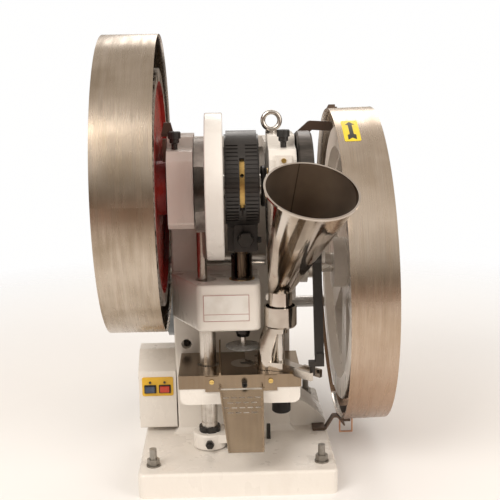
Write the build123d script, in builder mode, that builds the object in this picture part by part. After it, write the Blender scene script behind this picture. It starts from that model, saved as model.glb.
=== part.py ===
from build123d import *
from math import acos, atan2, cos, degrees, hypot, pi, radians, sin, sqrt, tan
import os

os.makedirs("parts", exist_ok=True)

# Frame: +X to the operator's right, the operator stands at -Y, +Z up.
# The origin is the centre of the underside of the base. All sizes in mm.

# Driving dimensions
BASE_X, BASE_Y, BASE_H = 330, 400, 42
COLUMN_LEFT, COLUMN_RIGHT, COLUMN_FRONT, COLUMN_BACK, COLUMN_TOP = -108, 98, -20, 120, 566
COLUMN_WALL = 16
THROAT_LEFT, THROAT_RIGHT, THROAT_BOTTOM = -61.5, 58, 350  # cam slot in the column's front
TABLE_LEFT, TABLE_RIGHT, TABLE_FRONT, TABLE_BOTTOM = -94, 107, -146, 141
TABLE_TOP, TRAY_T = 192, 1.5  # top of the bright tray, and its thickness
FRONT_SCREWS, FRONT_SCREW_Z = (-40.5, 57.8), 181.5  # brass screws through the chute's ears
HEAD_BOTTOM, HEAD_TOP, HEAD_FRONT, HEAD_RIGHT = 262, 342, -132, 44
MAIN_Y, MAIN_Z, MAIN_R = -85, 499, 20
PUNCH_X, LIFT_X = 14, -47
CRANK_E = 12.5  # crank throw; the ram's stroke is twice this
RUN_FIT = 0.05  # radial clearance of every running fit

MODULE, GEAR_TEETH, PINION_TEETH = 3.5, 110, 16
GEAR_LEFT, GEAR_RIGHT = -149, -115
CENTRE_DISTANCE = MODULE * (GEAR_TEETH + PINION_TEETH) / 2
DRIVE_Z, DRIVE_R = 334.3, 18
DRIVE_Y = MAIN_Y + sqrt(CENTRE_DISTANCE**2 - (MAIN_Z - DRIVE_Z) ** 2)
MESH_ANGLE = degrees(atan2(DRIVE_Z - MAIN_Z, DRIVE_Y - MAIN_Y))

FLYWHEEL_R, FLYWHEEL_LEFT, FLYWHEEL_RIGHT = 250, 190, 240
GUARD_T = 1.5
GEAR_GUARD_R, GEAR_GUARD_Y, GEAR_GUARD_Z = 248, -55, 501
GEAR_GUARD_LEFT, GEAR_GUARD_RIGHT = -206, -114
WHEEL_GUARD_R, WHEEL_GUARD_W, WHEEL_GUARD_X, WHEEL_GUARD_Z = 284, 78, 182, 332
WHEEL_GUARD_LEAN = 1.4  # degrees, the rim's foot stands further out than its top

MOTOR_Y, MOTOR_Z, MOTOR_R = 328, 190, 64
BELT_X, BELT_W, BELT_T = 215, 10, 8
GROOVE_R, PULLEY_GROOVE_R, PULLEY_R = 240, 28, 38  # bottoms of the two belt grooves, pulley rim
BELT_GAP = 0.5

BOOT_X, BOOT_Y = 76.5, -121
LEVER_X, LEVER_T, LEVER_Y, LEVER_Z = 130, 14, -126, 385
HOPPER_MOUTH, NECK_Z, NECK_FOOT = (116, -276, 515.5), 327, 295.5
HOPPER_MOUTH_R, HOPPER_TUBE_R, HOPPER_T = 70.3, 20, 1.2


def side_plane(x, y=0, z=0):
    """A sketch plane across the machine: local x runs along +Y, local y along +Z, facing +X."""
    return Plane(origin=(x, y, z), x_dir=(0, 1, 0), z_dir=(1, 0, 0))


def front_plane(y, x=0, z=0):
    """A sketch plane facing the operator: local x runs along +X, local y along +Z."""
    return Plane(origin=(x, y, z), x_dir=(1, 0, 0), z_dir=(0, -1, 0))


def block(x0, x1, y0, y1, z0, z1, mode=Mode.ADD):
    """Box between two corners."""
    with Locations((x0, y0, z0)):
        Box(x1 - x0, y1 - y0, z1 - z0, align=(Align.MIN, Align.MIN, Align.MIN), mode=mode)


def rod_x(x0, x1, radius, y, z, mode=Mode.ADD):
    """Cylinder along X."""
    with Locations(((x0 + x1) / 2, y, z)):
        Cylinder(radius, x1 - x0, rotation=(0, 90, 0), mode=mode)


def rod_y(y0, y1, radius, x, z, mode=Mode.ADD):
    """Cylinder along Y."""
    with Locations((x, (y0 + y1) / 2, z)):
        Cylinder(radius, y1 - y0, rotation=(90, 0, 0), mode=mode)


def rod_z(z0, z1, radius, x, y, mode=Mode.ADD):
    """Cylinder along Z."""
    with Locations((x, y, (z0 + z1) / 2)):
        Cylinder(radius, z1 - z0, mode=mode)


def hexagon_z(z0, z1, radius, x, y):
    """Hexagonal prism along Z."""
    with BuildSketch(Plane.XY.offset(z0)) as outline:
        with Locations((x, y)):
            RegularPolygon(radius, 6)
    extrude(outline.sketch, amount=z1 - z0)


def hexagon_y(y_front, y_back, radius, x, z):
    """Hexagonal prism along Y."""
    with BuildSketch(front_plane(y_back)) as outline:
        with Locations((x, z)):
            RegularPolygon(radius, 6)
    extrude(outline.sketch, amount=y_back - y_front)


def turned_z(x, y, profile, mode=Mode.ADD):
    """Revolves a closed run of (radius, height) points round a vertical axis."""
    with BuildSketch(front_plane(y, x)) as section:
        with BuildLine():
            Polyline(*profile, close=True)
        make_face()
    revolve(section.sketch, axis=Axis((x, y, 0), (0, 0, 1)), mode=mode)


def turned_x(y, z, profile, mode=Mode.ADD):
    """Revolves a closed run of (x, radius) points round an axis along X."""
    with BuildSketch(front_plane(y, 0, z)) as section:
        with BuildLine():
            Polyline(*profile, close=True)
        make_face()
    revolve(section.sketch, axis=Axis((0, y, z), (1, 0, 0)), mode=mode)


def bar_outline(points, width):
    """Adds a bent bar of the given width along a run of points to the open sketch."""
    for (ax, ay), (bx, by) in zip(points, points[1:]):
        angle = degrees(atan2(by - ay, bx - ax))
        with Locations(Location(((ax + bx) / 2, (ay + by) / 2, 0), (0, 0, angle))):
            SlotCenterToCenter(hypot(bx - ax, by - ay), width)


def save(part, name):
    part.label = name
    export_step(part, "parts/" + name + ".step")


def gear_outline(teeth, addendum, dedendum, backlash, first_tooth):
    """Closed list of points round an involute gear, with one tooth centred at first_tooth degrees."""
    pitch_r = MODULE * teeth / 2
    base_r = pitch_r * cos(radians(20))
    root_r, tip_r = pitch_r - dedendum, pitch_r + addendum
    half_tooth = pi / (2 * teeth) - backlash / (2 * pitch_r)
    pitch_roll = tan(radians(20)) - radians(20)
    start_r = max(base_r, root_r + 0.3)
    flank = []
    for step in range(4):
        r = start_r + (tip_r - start_r) * step / 3
        roll = acos(base_r / r)
        flank.append((r, half_tooth + pitch_roll - tan(roll) + roll))
    foot = flank[0][1]
    points = []
    for tooth in range(teeth):
        middle = radians(first_tooth) + 2 * pi * tooth / teeth
        tooth_points = [(root_r, -foot)]
        tooth_points += [(r, -a) for r, a in flank]
        tooth_points += [(r, a) for r, a in reversed(flank)]
        tooth_points += [(root_r, foot)]
        points += [(r * cos(middle + a), r * sin(middle + a)) for r, a in tooth_points]
    return points


def belt_loop(big_r, small_r, mode=Mode.ADD):
    """Adds the outline of a belt wrapped round the flywheel and the motor pulley to the open sketch."""
    dy, dz = MOTOR_Y - DRIVE_Y, MOTOR_Z - DRIVE_Z
    along = atan2(dz, dy)
    open_angle = acos((big_r - small_r) / hypot(dy, dz))
    Circle(big_r, mode=mode)
    with Locations((dy, dz)):
        Circle(small_r, mode=mode)
    corners = []
    for turn, radius, cy, cz in (
        (open_angle, big_r, 0, 0),
        (open_angle, small_r, dy, dz),
        (-open_angle, small_r, dy, dz),
        (-open_angle, big_r, 0, 0),
    ):
        corners.append((cy + radius * cos(along + turn), cz + radius * sin(along + turn)))
    Polygon(*corners, align=None, mode=mode)

# ---------------------------------------------------------------- frame castings

STUD_X, STUD_Y, STUD_R, STUD_TOP = 141, 163, 6, 72

with BuildPart() as base:
    with BuildSketch():
        RectangleRounded(BASE_X, BASE_Y, 12)
    extrude(amount=BASE_H)
    fillet(base.faces().sort_by(Axis.Z)[-1].edges(), 5)
    # Four coring pockets in the underside, with a solid cross between them
    with GridLocations(140, 200, 2, 2):
        Box(110, 150, BASE_H - 16, align=(Align.CENTER, Align.CENTER, Align.MIN), mode=Mode.SUBTRACT)
    for x in (-STUD_X, STUD_X):
        for y in (-STUD_Y, STUD_Y):
            rod_z(-1, BASE_H + 1, STUD_R + 0.5, x, y, Mode.SUBTRACT)
    # Swept web that stiffens the foot of the column on its right side
    with BuildSketch(front_plane(70)):
        with BuildLine():
            Polyline((163, BASE_H - 5), (163, 52))
            ThreePointArc((163, 52), (138, 79), (COLUMN_RIGHT, 102))
            Polyline((COLUMN_RIGHT, 102), (COLUMN_RIGHT, BASE_H - 5), (163, BASE_H - 5))
        make_face()
    extrude(amount=75)
save(base.part, "base")

DRIVE_BORE = 26
BOSS_R = 36
with BuildPart() as column:
    with BuildSketch(front_plane(COLUMN_BACK)):
        Polygon(
            (COLUMN_LEFT + 3, BASE_H),
            (COLUMN_RIGHT, BASE_H),
            (COLUMN_RIGHT, COLUMN_TOP),
            (COLUMN_LEFT, COLUMN_TOP),
            (COLUMN_LEFT, 250),
            align=None,
        )
    extrude(amount=COLUMN_BACK - COLUMN_FRONT)
    fillet(column.edges().filter_by(Axis.Z).group_by(Axis.Y)[0], 4)
    # Hollow, open at the back
    hollow_left, hollow_right = COLUMN_LEFT + COLUMN_WALL, COLUMN_RIGHT - COLUMN_WALL
    block(hollow_left, hollow_right, COLUMN_FRONT + COLUMN_WALL, COLUMN_BACK, 62, 546, Mode.SUBTRACT)
    # Slot in front and top for the strap and the ejection cam
    block(THROAT_LEFT, THROAT_RIGHT, COLUMN_FRONT, COLUMN_BACK - 16, THROAT_BOTTOM, COLUMN_TOP, Mode.SUBTRACT)
    # Bosses for the drive shaft's two bushes
    rod_x(COLUMN_LEFT + 4, -64, BOSS_R, DRIVE_Y, DRIVE_Z)
    rod_x(62, 136, BOSS_R, DRIVE_Y, DRIVE_Z)
    rod_x(COLUMN_LEFT, 136, DRIVE_BORE, DRIVE_Y, DRIVE_Z, Mode.SUBTRACT)
    # Drain hole in the face below the head
    rod_y(COLUMN_FRONT, COLUMN_FRONT + COLUMN_WALL, 9, -86.5, 208, Mode.SUBTRACT)
save(column.part, "column")

with BuildPart() as column_cover:
    block(hollow_left - 8, hollow_right + 8, COLUMN_BACK, COLUMN_BACK + 3, 56, 552)
    fillet(column_cover.edges().filter_by(Axis.Y), 8)
save(column_cover.part, "column_cover")

RAM_R, RAM_BUSH_R = 18, 22
LIFT_ROD_R, LIFT_BORE = 14, 18
with BuildPart() as head:
    with BuildSketch(Plane.XY.offset(HEAD_BOTTOM)):
        Polygon(
            (COLUMN_LEFT, COLUMN_FRONT),
            (COLUMN_LEFT, COLUMN_FRONT - 14),
            (-60, HEAD_FRONT),
            (HEAD_RIGHT, HEAD_FRONT),
            (HEAD_RIGHT, COLUMN_FRONT),
            align=None,
        )
    extrude(amount=HEAD_TOP - HEAD_BOTTOM)
    fillet(head.edges().filter_by(Axis.Z).group_by(Axis.Y)[0], 14)
    fillet(head.faces().sort_by(Axis.Z)[0].edges().filter_by(lambda e: e.center().Y < COLUMN_FRONT - 1), 6)
    fillet(head.faces().sort_by(Axis.Z)[-1].edges().filter_by(lambda e: e.center().Y < COLUMN_FRONT - 1), 3)
    rod_z(HEAD_BOTTOM, HEAD_TOP, RAM_BUSH_R, PUNCH_X, MAIN_Y, Mode.SUBTRACT)
    rod_z(HEAD_BOTTOM, HEAD_TOP, LIFT_BORE, LIFT_X, MAIN_Y, Mode.SUBTRACT)
save(head.part, "ram_guide_head")

DIE_R, DIE_BOTTOM, PUNCH_R = 22, 164, 5.5
LOWER_RAM_R, POST_R = 12, 7
with BuildPart() as table:
    with BuildSketch(front_plane(COLUMN_FRONT)):
        Polygon(
            (TABLE_LEFT, TABLE_BOTTOM),
            (TABLE_RIGHT, TABLE_BOTTOM),
            (TABLE_RIGHT, TABLE_TOP - TRAY_T),
            (TABLE_LEFT, TABLE_TOP - TRAY_T),
            align=None,
        )
    extrude(amount=COLUMN_FRONT - TABLE_FRONT)
    fillet(table.edges().filter_by(Axis.Y).group_by(Axis.Z)[0], 12)
    # Guide boss of the lower ram under the die
    rod_z(117, TABLE_BOTTOM, 30, PUNCH_X, MAIN_Y)
    rod_z(DIE_BOTTOM, TABLE_TOP, DIE_R, PUNCH_X, MAIN_Y, Mode.SUBTRACT)
    rod_z(117, DIE_BOTTOM, LOWER_RAM_R + RUN_FIT, PUNCH_X, MAIN_Y, Mode.SUBTRACT)
    rod_z(TABLE_BOTTOM, TABLE_TOP, LIFT_BORE, LIFT_X, MAIN_Y, Mode.SUBTRACT)
    rod_z(TABLE_BOTTOM, TABLE_TOP, POST_R, BOOT_X, BOOT_Y, Mode.SUBTRACT)
    rod_y(TABLE_FRONT, MAIN_Y - DIE_R, 3, PUNCH_X, 178, Mode.SUBTRACT)
    for x in FRONT_SCREWS:
        rod_y(TABLE_FRONT, TABLE_FRONT + 10, 2, x, FRONT_SCREW_Z, Mode.SUBTRACT)
save(table.part, "table")

with BuildPart() as table_tray:
    tray_front, tray_back = TABLE_FRONT - TRAY_T, COLUMN_FRONT - 2
    block(TABLE_LEFT - 2, TABLE_RIGHT + 2, tray_front, tray_back, TABLE_TOP - TRAY_T, TABLE_TOP)
    block(TABLE_LEFT - 2, TABLE_RIGHT + 2, TABLE_FRONT - TRAY_T, TABLE_FRONT, TABLE_TOP - 23, TABLE_TOP)
    rod_z(180, 200, DIE_R, PUNCH_X, MAIN_Y, Mode.SUBTRACT)
    rod_z(180, 200, LIFT_BORE, LIFT_X, MAIN_Y, Mode.SUBTRACT)
    rod_z(180, 200, 10, BOOT_X, BOOT_Y, Mode.SUBTRACT)
    rod_y(TABLE_FRONT - 5, TABLE_FRONT + 1, 4.5, PUNCH_X, 178, Mode.SUBTRACT)
    for x in FRONT_SCREWS:
        rod_y(TABLE_FRONT - 5, TABLE_FRONT + 1, 2, x, FRONT_SCREW_Z, Mode.SUBTRACT)
save(table_tray.part, "table_tray")

with BuildPart() as die:
    rod_z(DIE_BOTTOM, TABLE_TOP, DIE_R, PUNCH_X, MAIN_Y)
    rod_z(DIE_BOTTOM, TABLE_TOP, PUNCH_R + RUN_FIT, PUNCH_X, MAIN_Y, Mode.SUBTRACT)
save(die.part, "die")

HOUSING_BORE = 30
HOUSINGS = {"left": (-104, -62), "right": (59.5, 103.5)}
CUP_X, CUP_Y = {"left": -91, "right": 84}, -122
EYE_X, EYE_Y, EYE_Z = 68, -60, 605
for side, (x0, x1) in HOUSINGS.items():
    with BuildPart() as housing:
        with BuildSketch(side_plane(x0)):
            Polygon(
                (COLUMN_FRONT, 438),
                (MAIN_Y - 50, 438),
                (MAIN_Y - 65, 448),
                (MAIN_Y - 65, 550),
                (MAIN_Y - 52, 564),
                (MAIN_Y - 22, 568),
                (MAIN_Y - 12, 584),
                (COLUMN_FRONT, 584),
                align=None,
            )
        extrude(amount=x1 - x0)
        fillet(housing.edges().filter_by(Axis.X).filter_by(lambda e: e.center().Y < MAIN_Y - 10), 5)
        if side == "right":
            # Raised pad on the front of the bearing cap, with the hole of its brass screw
            block(70, 96, MAIN_Y - 68, MAIN_Y - 60, 538, 556)
            rod_y(MAIN_Y - 68, MAIN_Y - 56, 2, 82.7, 548, Mode.SUBTRACT)
            rod_z(572, 584, 4, EYE_X, EYE_Y, Mode.SUBTRACT)
        rod_x(x0, x1, HOUSING_BORE, MAIN_Y, MAIN_Z, Mode.SUBTRACT)
        # Oil hole from the cup down to the bush
        rod_z(MAIN_Z, 570, 2, CUP_X[side], CUP_Y + 25, Mode.SUBTRACT)
    save(housing.part, "bearing_housing_" + side)

with BuildPart() as shaft_bushes:
    for x0, x1 in ((-105, -61.8), (58.5, 104)):
        rod_x(x0, x1, HOUSING_BORE, MAIN_Y, MAIN_Z)
        rod_x(x0, x1, MAIN_R + RUN_FIT, MAIN_Y, MAIN_Z, Mode.SUBTRACT)
    for x0, x1 in ((-110, -66), (64, 137)):
        rod_x(x0, x1, DRIVE_BORE, DRIVE_Y, DRIVE_Z)
        rod_x(x0, x1, DRIVE_R + RUN_FIT, DRIVE_Y, DRIVE_Z, Mode.SUBTRACT)
save(shaft_bushes.part, "shaft_bushes")

with BuildPart() as guide_bushes:
    rod_z(HEAD_BOTTOM, HEAD_TOP, RAM_BUSH_R, PUNCH_X, MAIN_Y)
    rod_z(HEAD_BOTTOM, HEAD_TOP, RAM_R + RUN_FIT, PUNCH_X, MAIN_Y, Mode.SUBTRACT)
    rod_z(HEAD_BOTTOM, 318, LIFT_BORE, LIFT_X, MAIN_Y)
    rod_z(HEAD_BOTTOM, 318, LIFT_ROD_R + RUN_FIT, LIFT_X, MAIN_Y, Mode.SUBTRACT)
save(guide_bushes.part, "guide_bushes")

# ---------------------------------------------------------------- main shaft group

with BuildPart() as main_shaft:
    rod_x(-162, 138, MAIN_R, MAIN_Y, MAIN_Z)
    chamfer(main_shaft.edges(), 1.5)
save(main_shaft.part, "main_shaft")

with BuildPart() as bull_gear:
    with BuildSketch(side_plane(GEAR_LEFT, MAIN_Y, MAIN_Z)):
        with BuildLine():
            Polyline(*gear_outline(GEAR_TEETH, 0.85 * MODULE, 1.25 * MODULE, 0.35, MESH_ANGLE), close=True)
        make_face()
    extrude(amount=GEAR_RIGHT - GEAR_LEFT)
    # Web recessed on both sides, hub standing proud at the right
    for x0, x1 in ((GEAR_LEFT, GEAR_LEFT + 8), (GEAR_RIGHT - 7, GEAR_RIGHT)):
        turned_x(MAIN_Y, MAIN_Z, ((x0, 45), (x1, 45), (x1, 174), (x0, 174)), Mode.SUBTRACT)
    rod_x(GEAR_RIGHT - 10, GEAR_RIGHT + 8, 45, MAIN_Y, MAIN_Z)
    rod_x(GEAR_LEFT, GEAR_RIGHT + 8, MAIN_R, MAIN_Y, MAIN_Z, Mode.SUBTRACT)
save(bull_gear.part, "bull_gear")

CAM_LEFT, CAM_RIGHT, CAM_R = -43, -14, 122
RECESS_R, RECESS_DEPTH = 74, 14
with BuildPart() as eject_cam:
    rod_x(CAM_LEFT, CAM_RIGHT, CAM_R, MAIN_Y, MAIN_Z)
    chamfer(eject_cam.edges(), 1.5)
    # Cam track in the left face; its outer wall steps inward over part of the turn
    with BuildSketch(side_plane(CAM_LEFT, MAIN_Y, MAIN_Z)):
        Circle(RECESS_R)
        with Locations((11, 0)):
            Circle(RECESS_R + 6, mode=Mode.INTERSECT)
        Circle(30, mode=Mode.SUBTRACT)
    extrude(amount=RECESS_DEPTH, mode=Mode.SUBTRACT)
    rod_x(CAM_LEFT, CAM_RIGHT, MAIN_R, MAIN_Y, MAIN_Z, Mode.SUBTRACT)
save(eject_cam.part, "ejection_cam")

CRANK_LEFT, CRANK_RIGHT = -8, 40
with BuildPart() as eccentric:
    rod_x(CRANK_LEFT, CRANK_RIGHT, 40, MAIN_Y, MAIN_Z + CRANK_E)
    rod_x(CRANK_LEFT, CRANK_RIGHT, MAIN_R, MAIN_Y, MAIN_Z, Mode.SUBTRACT)
save(eccentric.part, "eccentric")

with BuildPart() as shaft_collars:
    rod_x(48, 56, 34, MAIN_Y, MAIN_Z)
    chamfer(shaft_collars.edges(), 2)
    # Nut that holds the gear on the shaft's left end
    with BuildSketch(side_plane(GEAR_LEFT - 11, MAIN_Y, MAIN_Z)):
        RegularPolygon(29, 6)
    extrude(amount=11)
    rod_x(-162, 138, MAIN_R, MAIN_Y, MAIN_Z, Mode.SUBTRACT)
save(shaft_collars.part, "shaft_collars")

FEED_CAM_LEFT, FEED_CAM_RIGHT, FEED_CAM_R = 106, 131, 90
with BuildPart() as feed_cam:
    rod_x(FEED_CAM_LEFT, FEED_CAM_RIGHT, FEED_CAM_R, MAIN_Y, MAIN_Z)
    chamfer(feed_cam.edges(), 3)
    # Low part of the cam, at the back when the punch is up
    with BuildSketch(side_plane(FEED_CAM_LEFT, MAIN_Y, MAIN_Z)):
        Circle(FEED_CAM_R + 1)
        with Locations((-14, 0)):
            Circle(FEED_CAM_R + 4, mode=Mode.SUBTRACT)
    extrude(amount=FEED_CAM_RIGHT - FEED_CAM_LEFT, mode=Mode.SUBTRACT)
    ring = ((FEED_CAM_RIGHT - 3, 36), (FEED_CAM_RIGHT, 36), (FEED_CAM_RIGHT, 66), (FEED_CAM_RIGHT - 3, 66))
    turned_x(MAIN_Y, MAIN_Z, ring, Mode.SUBTRACT)
    rod_x(FEED_CAM_LEFT, FEED_CAM_RIGHT, MAIN_R, MAIN_Y, MAIN_Z, Mode.SUBTRACT)
save(feed_cam.part, "feed_cam")

# ---------------------------------------------------------------- upper ram group

STRAP_Z = MAIN_Z + CRANK_E
BOLT_X, BOLT_Z = 20.5, 416.5
STRAP_LEFT, STRAP_RIGHT, STRAP_R, STRAP_BORE, BUSH_R = -9, 41, 80, 66.5, 71.5
BLOCK_BOTTOM = 395
SCREW_R = 12.5
with BuildPart() as strap:
    rod_x(STRAP_LEFT, STRAP_RIGHT, STRAP_R, MAIN_Y, STRAP_Z)
    # Clamp block under the ring
    block(2, 39, MAIN_Y - 35, MAIN_Y, BLOCK_BOTTOM, 446)
    block(STRAP_LEFT, STRAP_RIGHT, MAIN_Y - 22, MAIN_Y + 39, BLOCK_BOTTOM, 446)
    rod_x(STRAP_LEFT, STRAP_RIGHT, BUSH_R, MAIN_Y, STRAP_Z, Mode.SUBTRACT)
    # Window at the front, through which the brass bush is seen
    block(12, 20, MAIN_Y - 90, MAIN_Y - 60, STRAP_Z - 42, STRAP_Z + 42, Mode.SUBTRACT)
    # Cast ribs across the front of the ring, either side of the window
    for x0, x1 in ((STRAP_LEFT, 10), (22, STRAP_RIGHT)):
        for step in range(20):
            angle = radians(131 + step * 98 / 19)
            with Locations(Location(
                ((x0 + x1) / 2, MAIN_Y + STRAP_R * cos(angle), STRAP_Z + STRAP_R * sin(angle)),
                (degrees(angle), 0, 0),
            )):
                Box(x1 - x0, 3.4, 3.2, mode=Mode.SUBTRACT)
    rod_z(BLOCK_BOTTOM, 428, SCREW_R, PUNCH_X, MAIN_Y, Mode.SUBTRACT)
    rod_y(MAIN_Y - 36, MAIN_Y - 14, 5, BOLT_X, BOLT_Z, Mode.SUBTRACT)
    # Slit of the clamp, from the window down
    block(14.5, 17.5, MAIN_Y - 82, MAIN_Y - 60, 431, STRAP_Z - 42, Mode.SUBTRACT)
    block(14.5, 17.5, MAIN_Y - 36, MAIN_Y - 32, 429, 446, Mode.SUBTRACT)
    # Split of the clamp behind the screw
    block(PUNCH_X - 1.5, PUNCH_X + 1.5, MAIN_Y + 10, MAIN_Y + 40, BLOCK_BOTTOM, 428, Mode.SUBTRACT)
    # Side cheeks that keep the bush in the ring
    for x0, x1 in ((STRAP_LEFT - 3, STRAP_LEFT), (STRAP_RIGHT, STRAP_RIGHT + 3)):
        turned_x(MAIN_Y, STRAP_Z, ((x0, 36), (x1, 36), (x1, 74), (x0, 74)))
save(strap.part, "eccentric_strap")

with BuildPart() as strap_bush:
    rod_x(STRAP_LEFT, STRAP_RIGHT, BUSH_R, MAIN_Y, STRAP_Z)
    rod_x(STRAP_LEFT, STRAP_RIGHT, STRAP_BORE, MAIN_Y, STRAP_Z, Mode.SUBTRACT)
    # Oil hole, facing the front window
    rod_y(MAIN_Y - 75, MAIN_Y - 60, 3, 16, STRAP_Z + 14, Mode.SUBTRACT)
save(strap_bush.part, "strap_bush")

with BuildPart() as clamp_bolt:
    hexagon_y(MAIN_Y - 49, MAIN_Y - 35, 14, BOLT_X, BOLT_Z)
    chamfer(clamp_bolt.faces().sort_by(Axis.Y)[0].edges(), 1.5)
    rod_y(MAIN_Y - 35, MAIN_Y - 14, 5, BOLT_X, BOLT_Z)
    # End of the cross bolt, standing out at the right
    rod_x(STRAP_RIGHT, STRAP_RIGHT + 6, 5, MAIN_Y - 20, 412)
save(clamp_bolt.part, "clamp_bolt")

RAM_BOTTOM, RAM_TOP, HOLDER_BOTTOM = 255, 384, 241
with BuildPart() as ram:
    rod_z(RAM_BOTTOM, RAM_TOP, RAM_R, PUNCH_X, MAIN_Y)
    # Open-fronted sleeve at the top, round the length-adjusting screw
    rod_z(346, RAM_TOP, 15, PUNCH_X, MAIN_Y, Mode.SUBTRACT)
    block(PUNCH_X - 12.5, PUNCH_X + 12.5, MAIN_Y - 20, MAIN_Y, 346, RAM_TOP + 1, Mode.SUBTRACT)
    rod_z(344, 428, SCREW_R, PUNCH_X, MAIN_Y)
    # Undercut of the screw where it enters the clamp
    groove = ((SCREW_R - 1.2, 386), (SCREW_R + 0.5, 386), (SCREW_R + 0.5, 389), (SCREW_R - 1.2, 389))
    turned_z(PUNCH_X, MAIN_Y, groove, Mode.SUBTRACT)
    # Punch holder
    holder = ((0, HOLDER_BOTTOM), (10.5, HOLDER_BOTTOM), (12.5, 247), (12.5, RAM_BOTTOM), (0, RAM_BOTTOM))
    turned_z(PUNCH_X, MAIN_Y, holder)
save(ram.part, "ram")

PUNCH_TIP = 215.5
with BuildPart() as upper_punch:
    tip = ((0, PUNCH_TIP), (PUNCH_R, PUNCH_TIP), (PUNCH_R, 225))
    profile = (*tip, (5.4, 226), (5.4, HOLDER_BOTTOM), (0, HOLDER_BOTTOM))
    turned_z(PUNCH_X, MAIN_Y, profile)
save(upper_punch.part, "upper_punch")

with BuildPart() as dust_disc:
    rod_z(222.5, 224, 30, PUNCH_X, MAIN_Y)
    rod_z(222.5, 224, PUNCH_R, PUNCH_X, MAIN_Y, Mode.SUBTRACT)
save(dust_disc.part, "dust_disc")

# ---------------------------------------------------------------- lift group

YOKE_LEFT, YOKE_RIGHT, YOKE_Z, YOKE_R = -60.5, -44.5, 504, 77
ROLLER_Z = 442
with BuildPart() as yoke:
    with BuildSketch(side_plane(YOKE_LEFT, MAIN_Y)):
        with Locations((0, YOKE_Z)):
            Circle(YOKE_R)
        with Locations((0, 444)):
            Rectangle(46, 34)
        # Slot that lets the yoke rise and fall across the shaft
        with Locations((0, MAIN_Z - 7)):
            SlotCenterToCenter(14, 46, rotation=90, mode=Mode.SUBTRACT)
    extrude(amount=YOKE_RIGHT - YOKE_LEFT)
    # Pin and roller that run in the ejection cam's track
    rod_x(YOKE_RIGHT, -42, 6, MAIN_Y, ROLLER_Z)
    rod_x(-42, -31, 10, MAIN_Y, ROLLER_Z)
save(yoke.part, "lift_yoke")

with BuildPart() as pull_rod:
    rod_z(322, 427, 8.5, -53, MAIN_Y)
save(pull_rod.part, "pull_rod")

ARM_BOTTOM, ARM_TOP, NUT_TOP = 43.4, 71, 80
with BuildPart() as lift_rod:
    rod_z(50, 322, LIFT_ROD_R, LIFT_X, MAIN_Y)
    groove = ((LIFT_ROD_R - 1.2, 88), (LIFT_ROD_R + 1, 88), (LIFT_ROD_R + 1, 91), (LIFT_ROD_R - 1.2, 91))
    turned_z(LIFT_X, MAIN_Y, groove, Mode.SUBTRACT)
save(lift_rod.part, "lift_rod")

with BuildPart() as lower_arm:
    rod_z(ARM_BOTTOM, ARM_TOP, 29, LIFT_X, MAIN_Y)
    fillet(lower_arm.edges(), 3)
    with BuildSketch(Plane.XY.offset(56)):
        with Locations(((LIFT_X + PUNCH_X) / 2, MAIN_Y)):
            SlotCenterToCenter(PUNCH_X - LIFT_X, 50)
    extrude(amount=ARM_TOP - 56)
    rod_z(50, ARM_TOP, LIFT_ROD_R, LIFT_X, MAIN_Y, Mode.SUBTRACT)
    rod_z(ARM_BOTTOM, ARM_TOP, LOWER_RAM_R, PUNCH_X, MAIN_Y, Mode.SUBTRACT)
    rod_y(MAIN_Y - 30, MAIN_Y - LIFT_ROD_R, 4, LIFT_X, 57, Mode.SUBTRACT)
save(lower_arm.part, "lower_arm")

with BuildPart() as arm_nuts:
    # Ring nut on the lift rod
    rod_z(ARM_TOP, NUT_TOP, 18.5, LIFT_X, MAIN_Y)
    rod_z(ARM_TOP, NUT_TOP, LIFT_ROD_R, LIFT_X, MAIN_Y, Mode.SUBTRACT)
    for turn in range(6):
        angle = radians(60 * turn + 15)
        rod_z(ARM_TOP, NUT_TOP, 2.2, LIFT_X + 18.5 * cos(angle), MAIN_Y + 18.5 * sin(angle), Mode.SUBTRACT)
    # Set screw and its lock nut in the front of the arm
    rod_y(MAIN_Y - 42, MAIN_Y - LIFT_ROD_R, 4, LIFT_X, 57)
    hexagon_y(MAIN_Y - 37, MAIN_Y - 30, 7.5, LIFT_X, 57)
save(arm_nuts.part, "arm_nuts")

LOWER_RAM_TOP, LOWER_PUNCH_TOP = 146, 176
with BuildPart() as lower_ram:
    rod_z(44.5, LOWER_RAM_TOP, LOWER_RAM_R, PUNCH_X, MAIN_Y)
    chamfer(lower_ram.faces().sort_by(Axis.Z)[-1].edges(), 1)
save(lower_ram.part, "lower_ram")

with BuildPart() as lower_punch:
    rod_z(LOWER_RAM_TOP, LOWER_PUNCH_TOP, PUNCH_R, PUNCH_X, MAIN_Y)
save(lower_punch.part, "lower_punch")

KNURL_R = 29
with BuildPart() as adjusting_gear:
    rod_z(44.7, 55.5, KNURL_R, PUNCH_X, MAIN_Y)
    chamfer(adjusting_gear.edges(), 0.8)
    rod_z(44, 56, LOWER_RAM_R + RUN_FIT, PUNCH_X, MAIN_Y, Mode.SUBTRACT)
    for notch in range(48):
        angle = radians(7.5 * notch)
        with Locations(Location(
            (PUNCH_X + KNURL_R * cos(angle), MAIN_Y + KNURL_R * sin(angle), 50),
            (0, 0, 45 + degrees(angle)),
        )):
            Box(1.7, 1.7, 14, mode=Mode.SUBTRACT)
save(adjusting_gear.part, "adjusting_gear")

# ---------------------------------------------------------------- feed group

BAR_BOTTOM, BAR_TOP = 192.6, 206
with BuildPart() as boot_post:
    rod_z(117, TABLE_BOTTOM, 16, BOOT_X, BOOT_Y)
    chamfer(boot_post.faces().sort_by(Axis.Z)[0].edges(), 2)
    rod_z(TABLE_BOTTOM, 261, POST_R, BOOT_X, BOOT_Y)
    rod_z(TABLE_TOP - TRAY_T, TABLE_TOP + 0.2, 10, BOOT_X, BOOT_Y)
save(boot_post.part, "boot_post")

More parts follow.
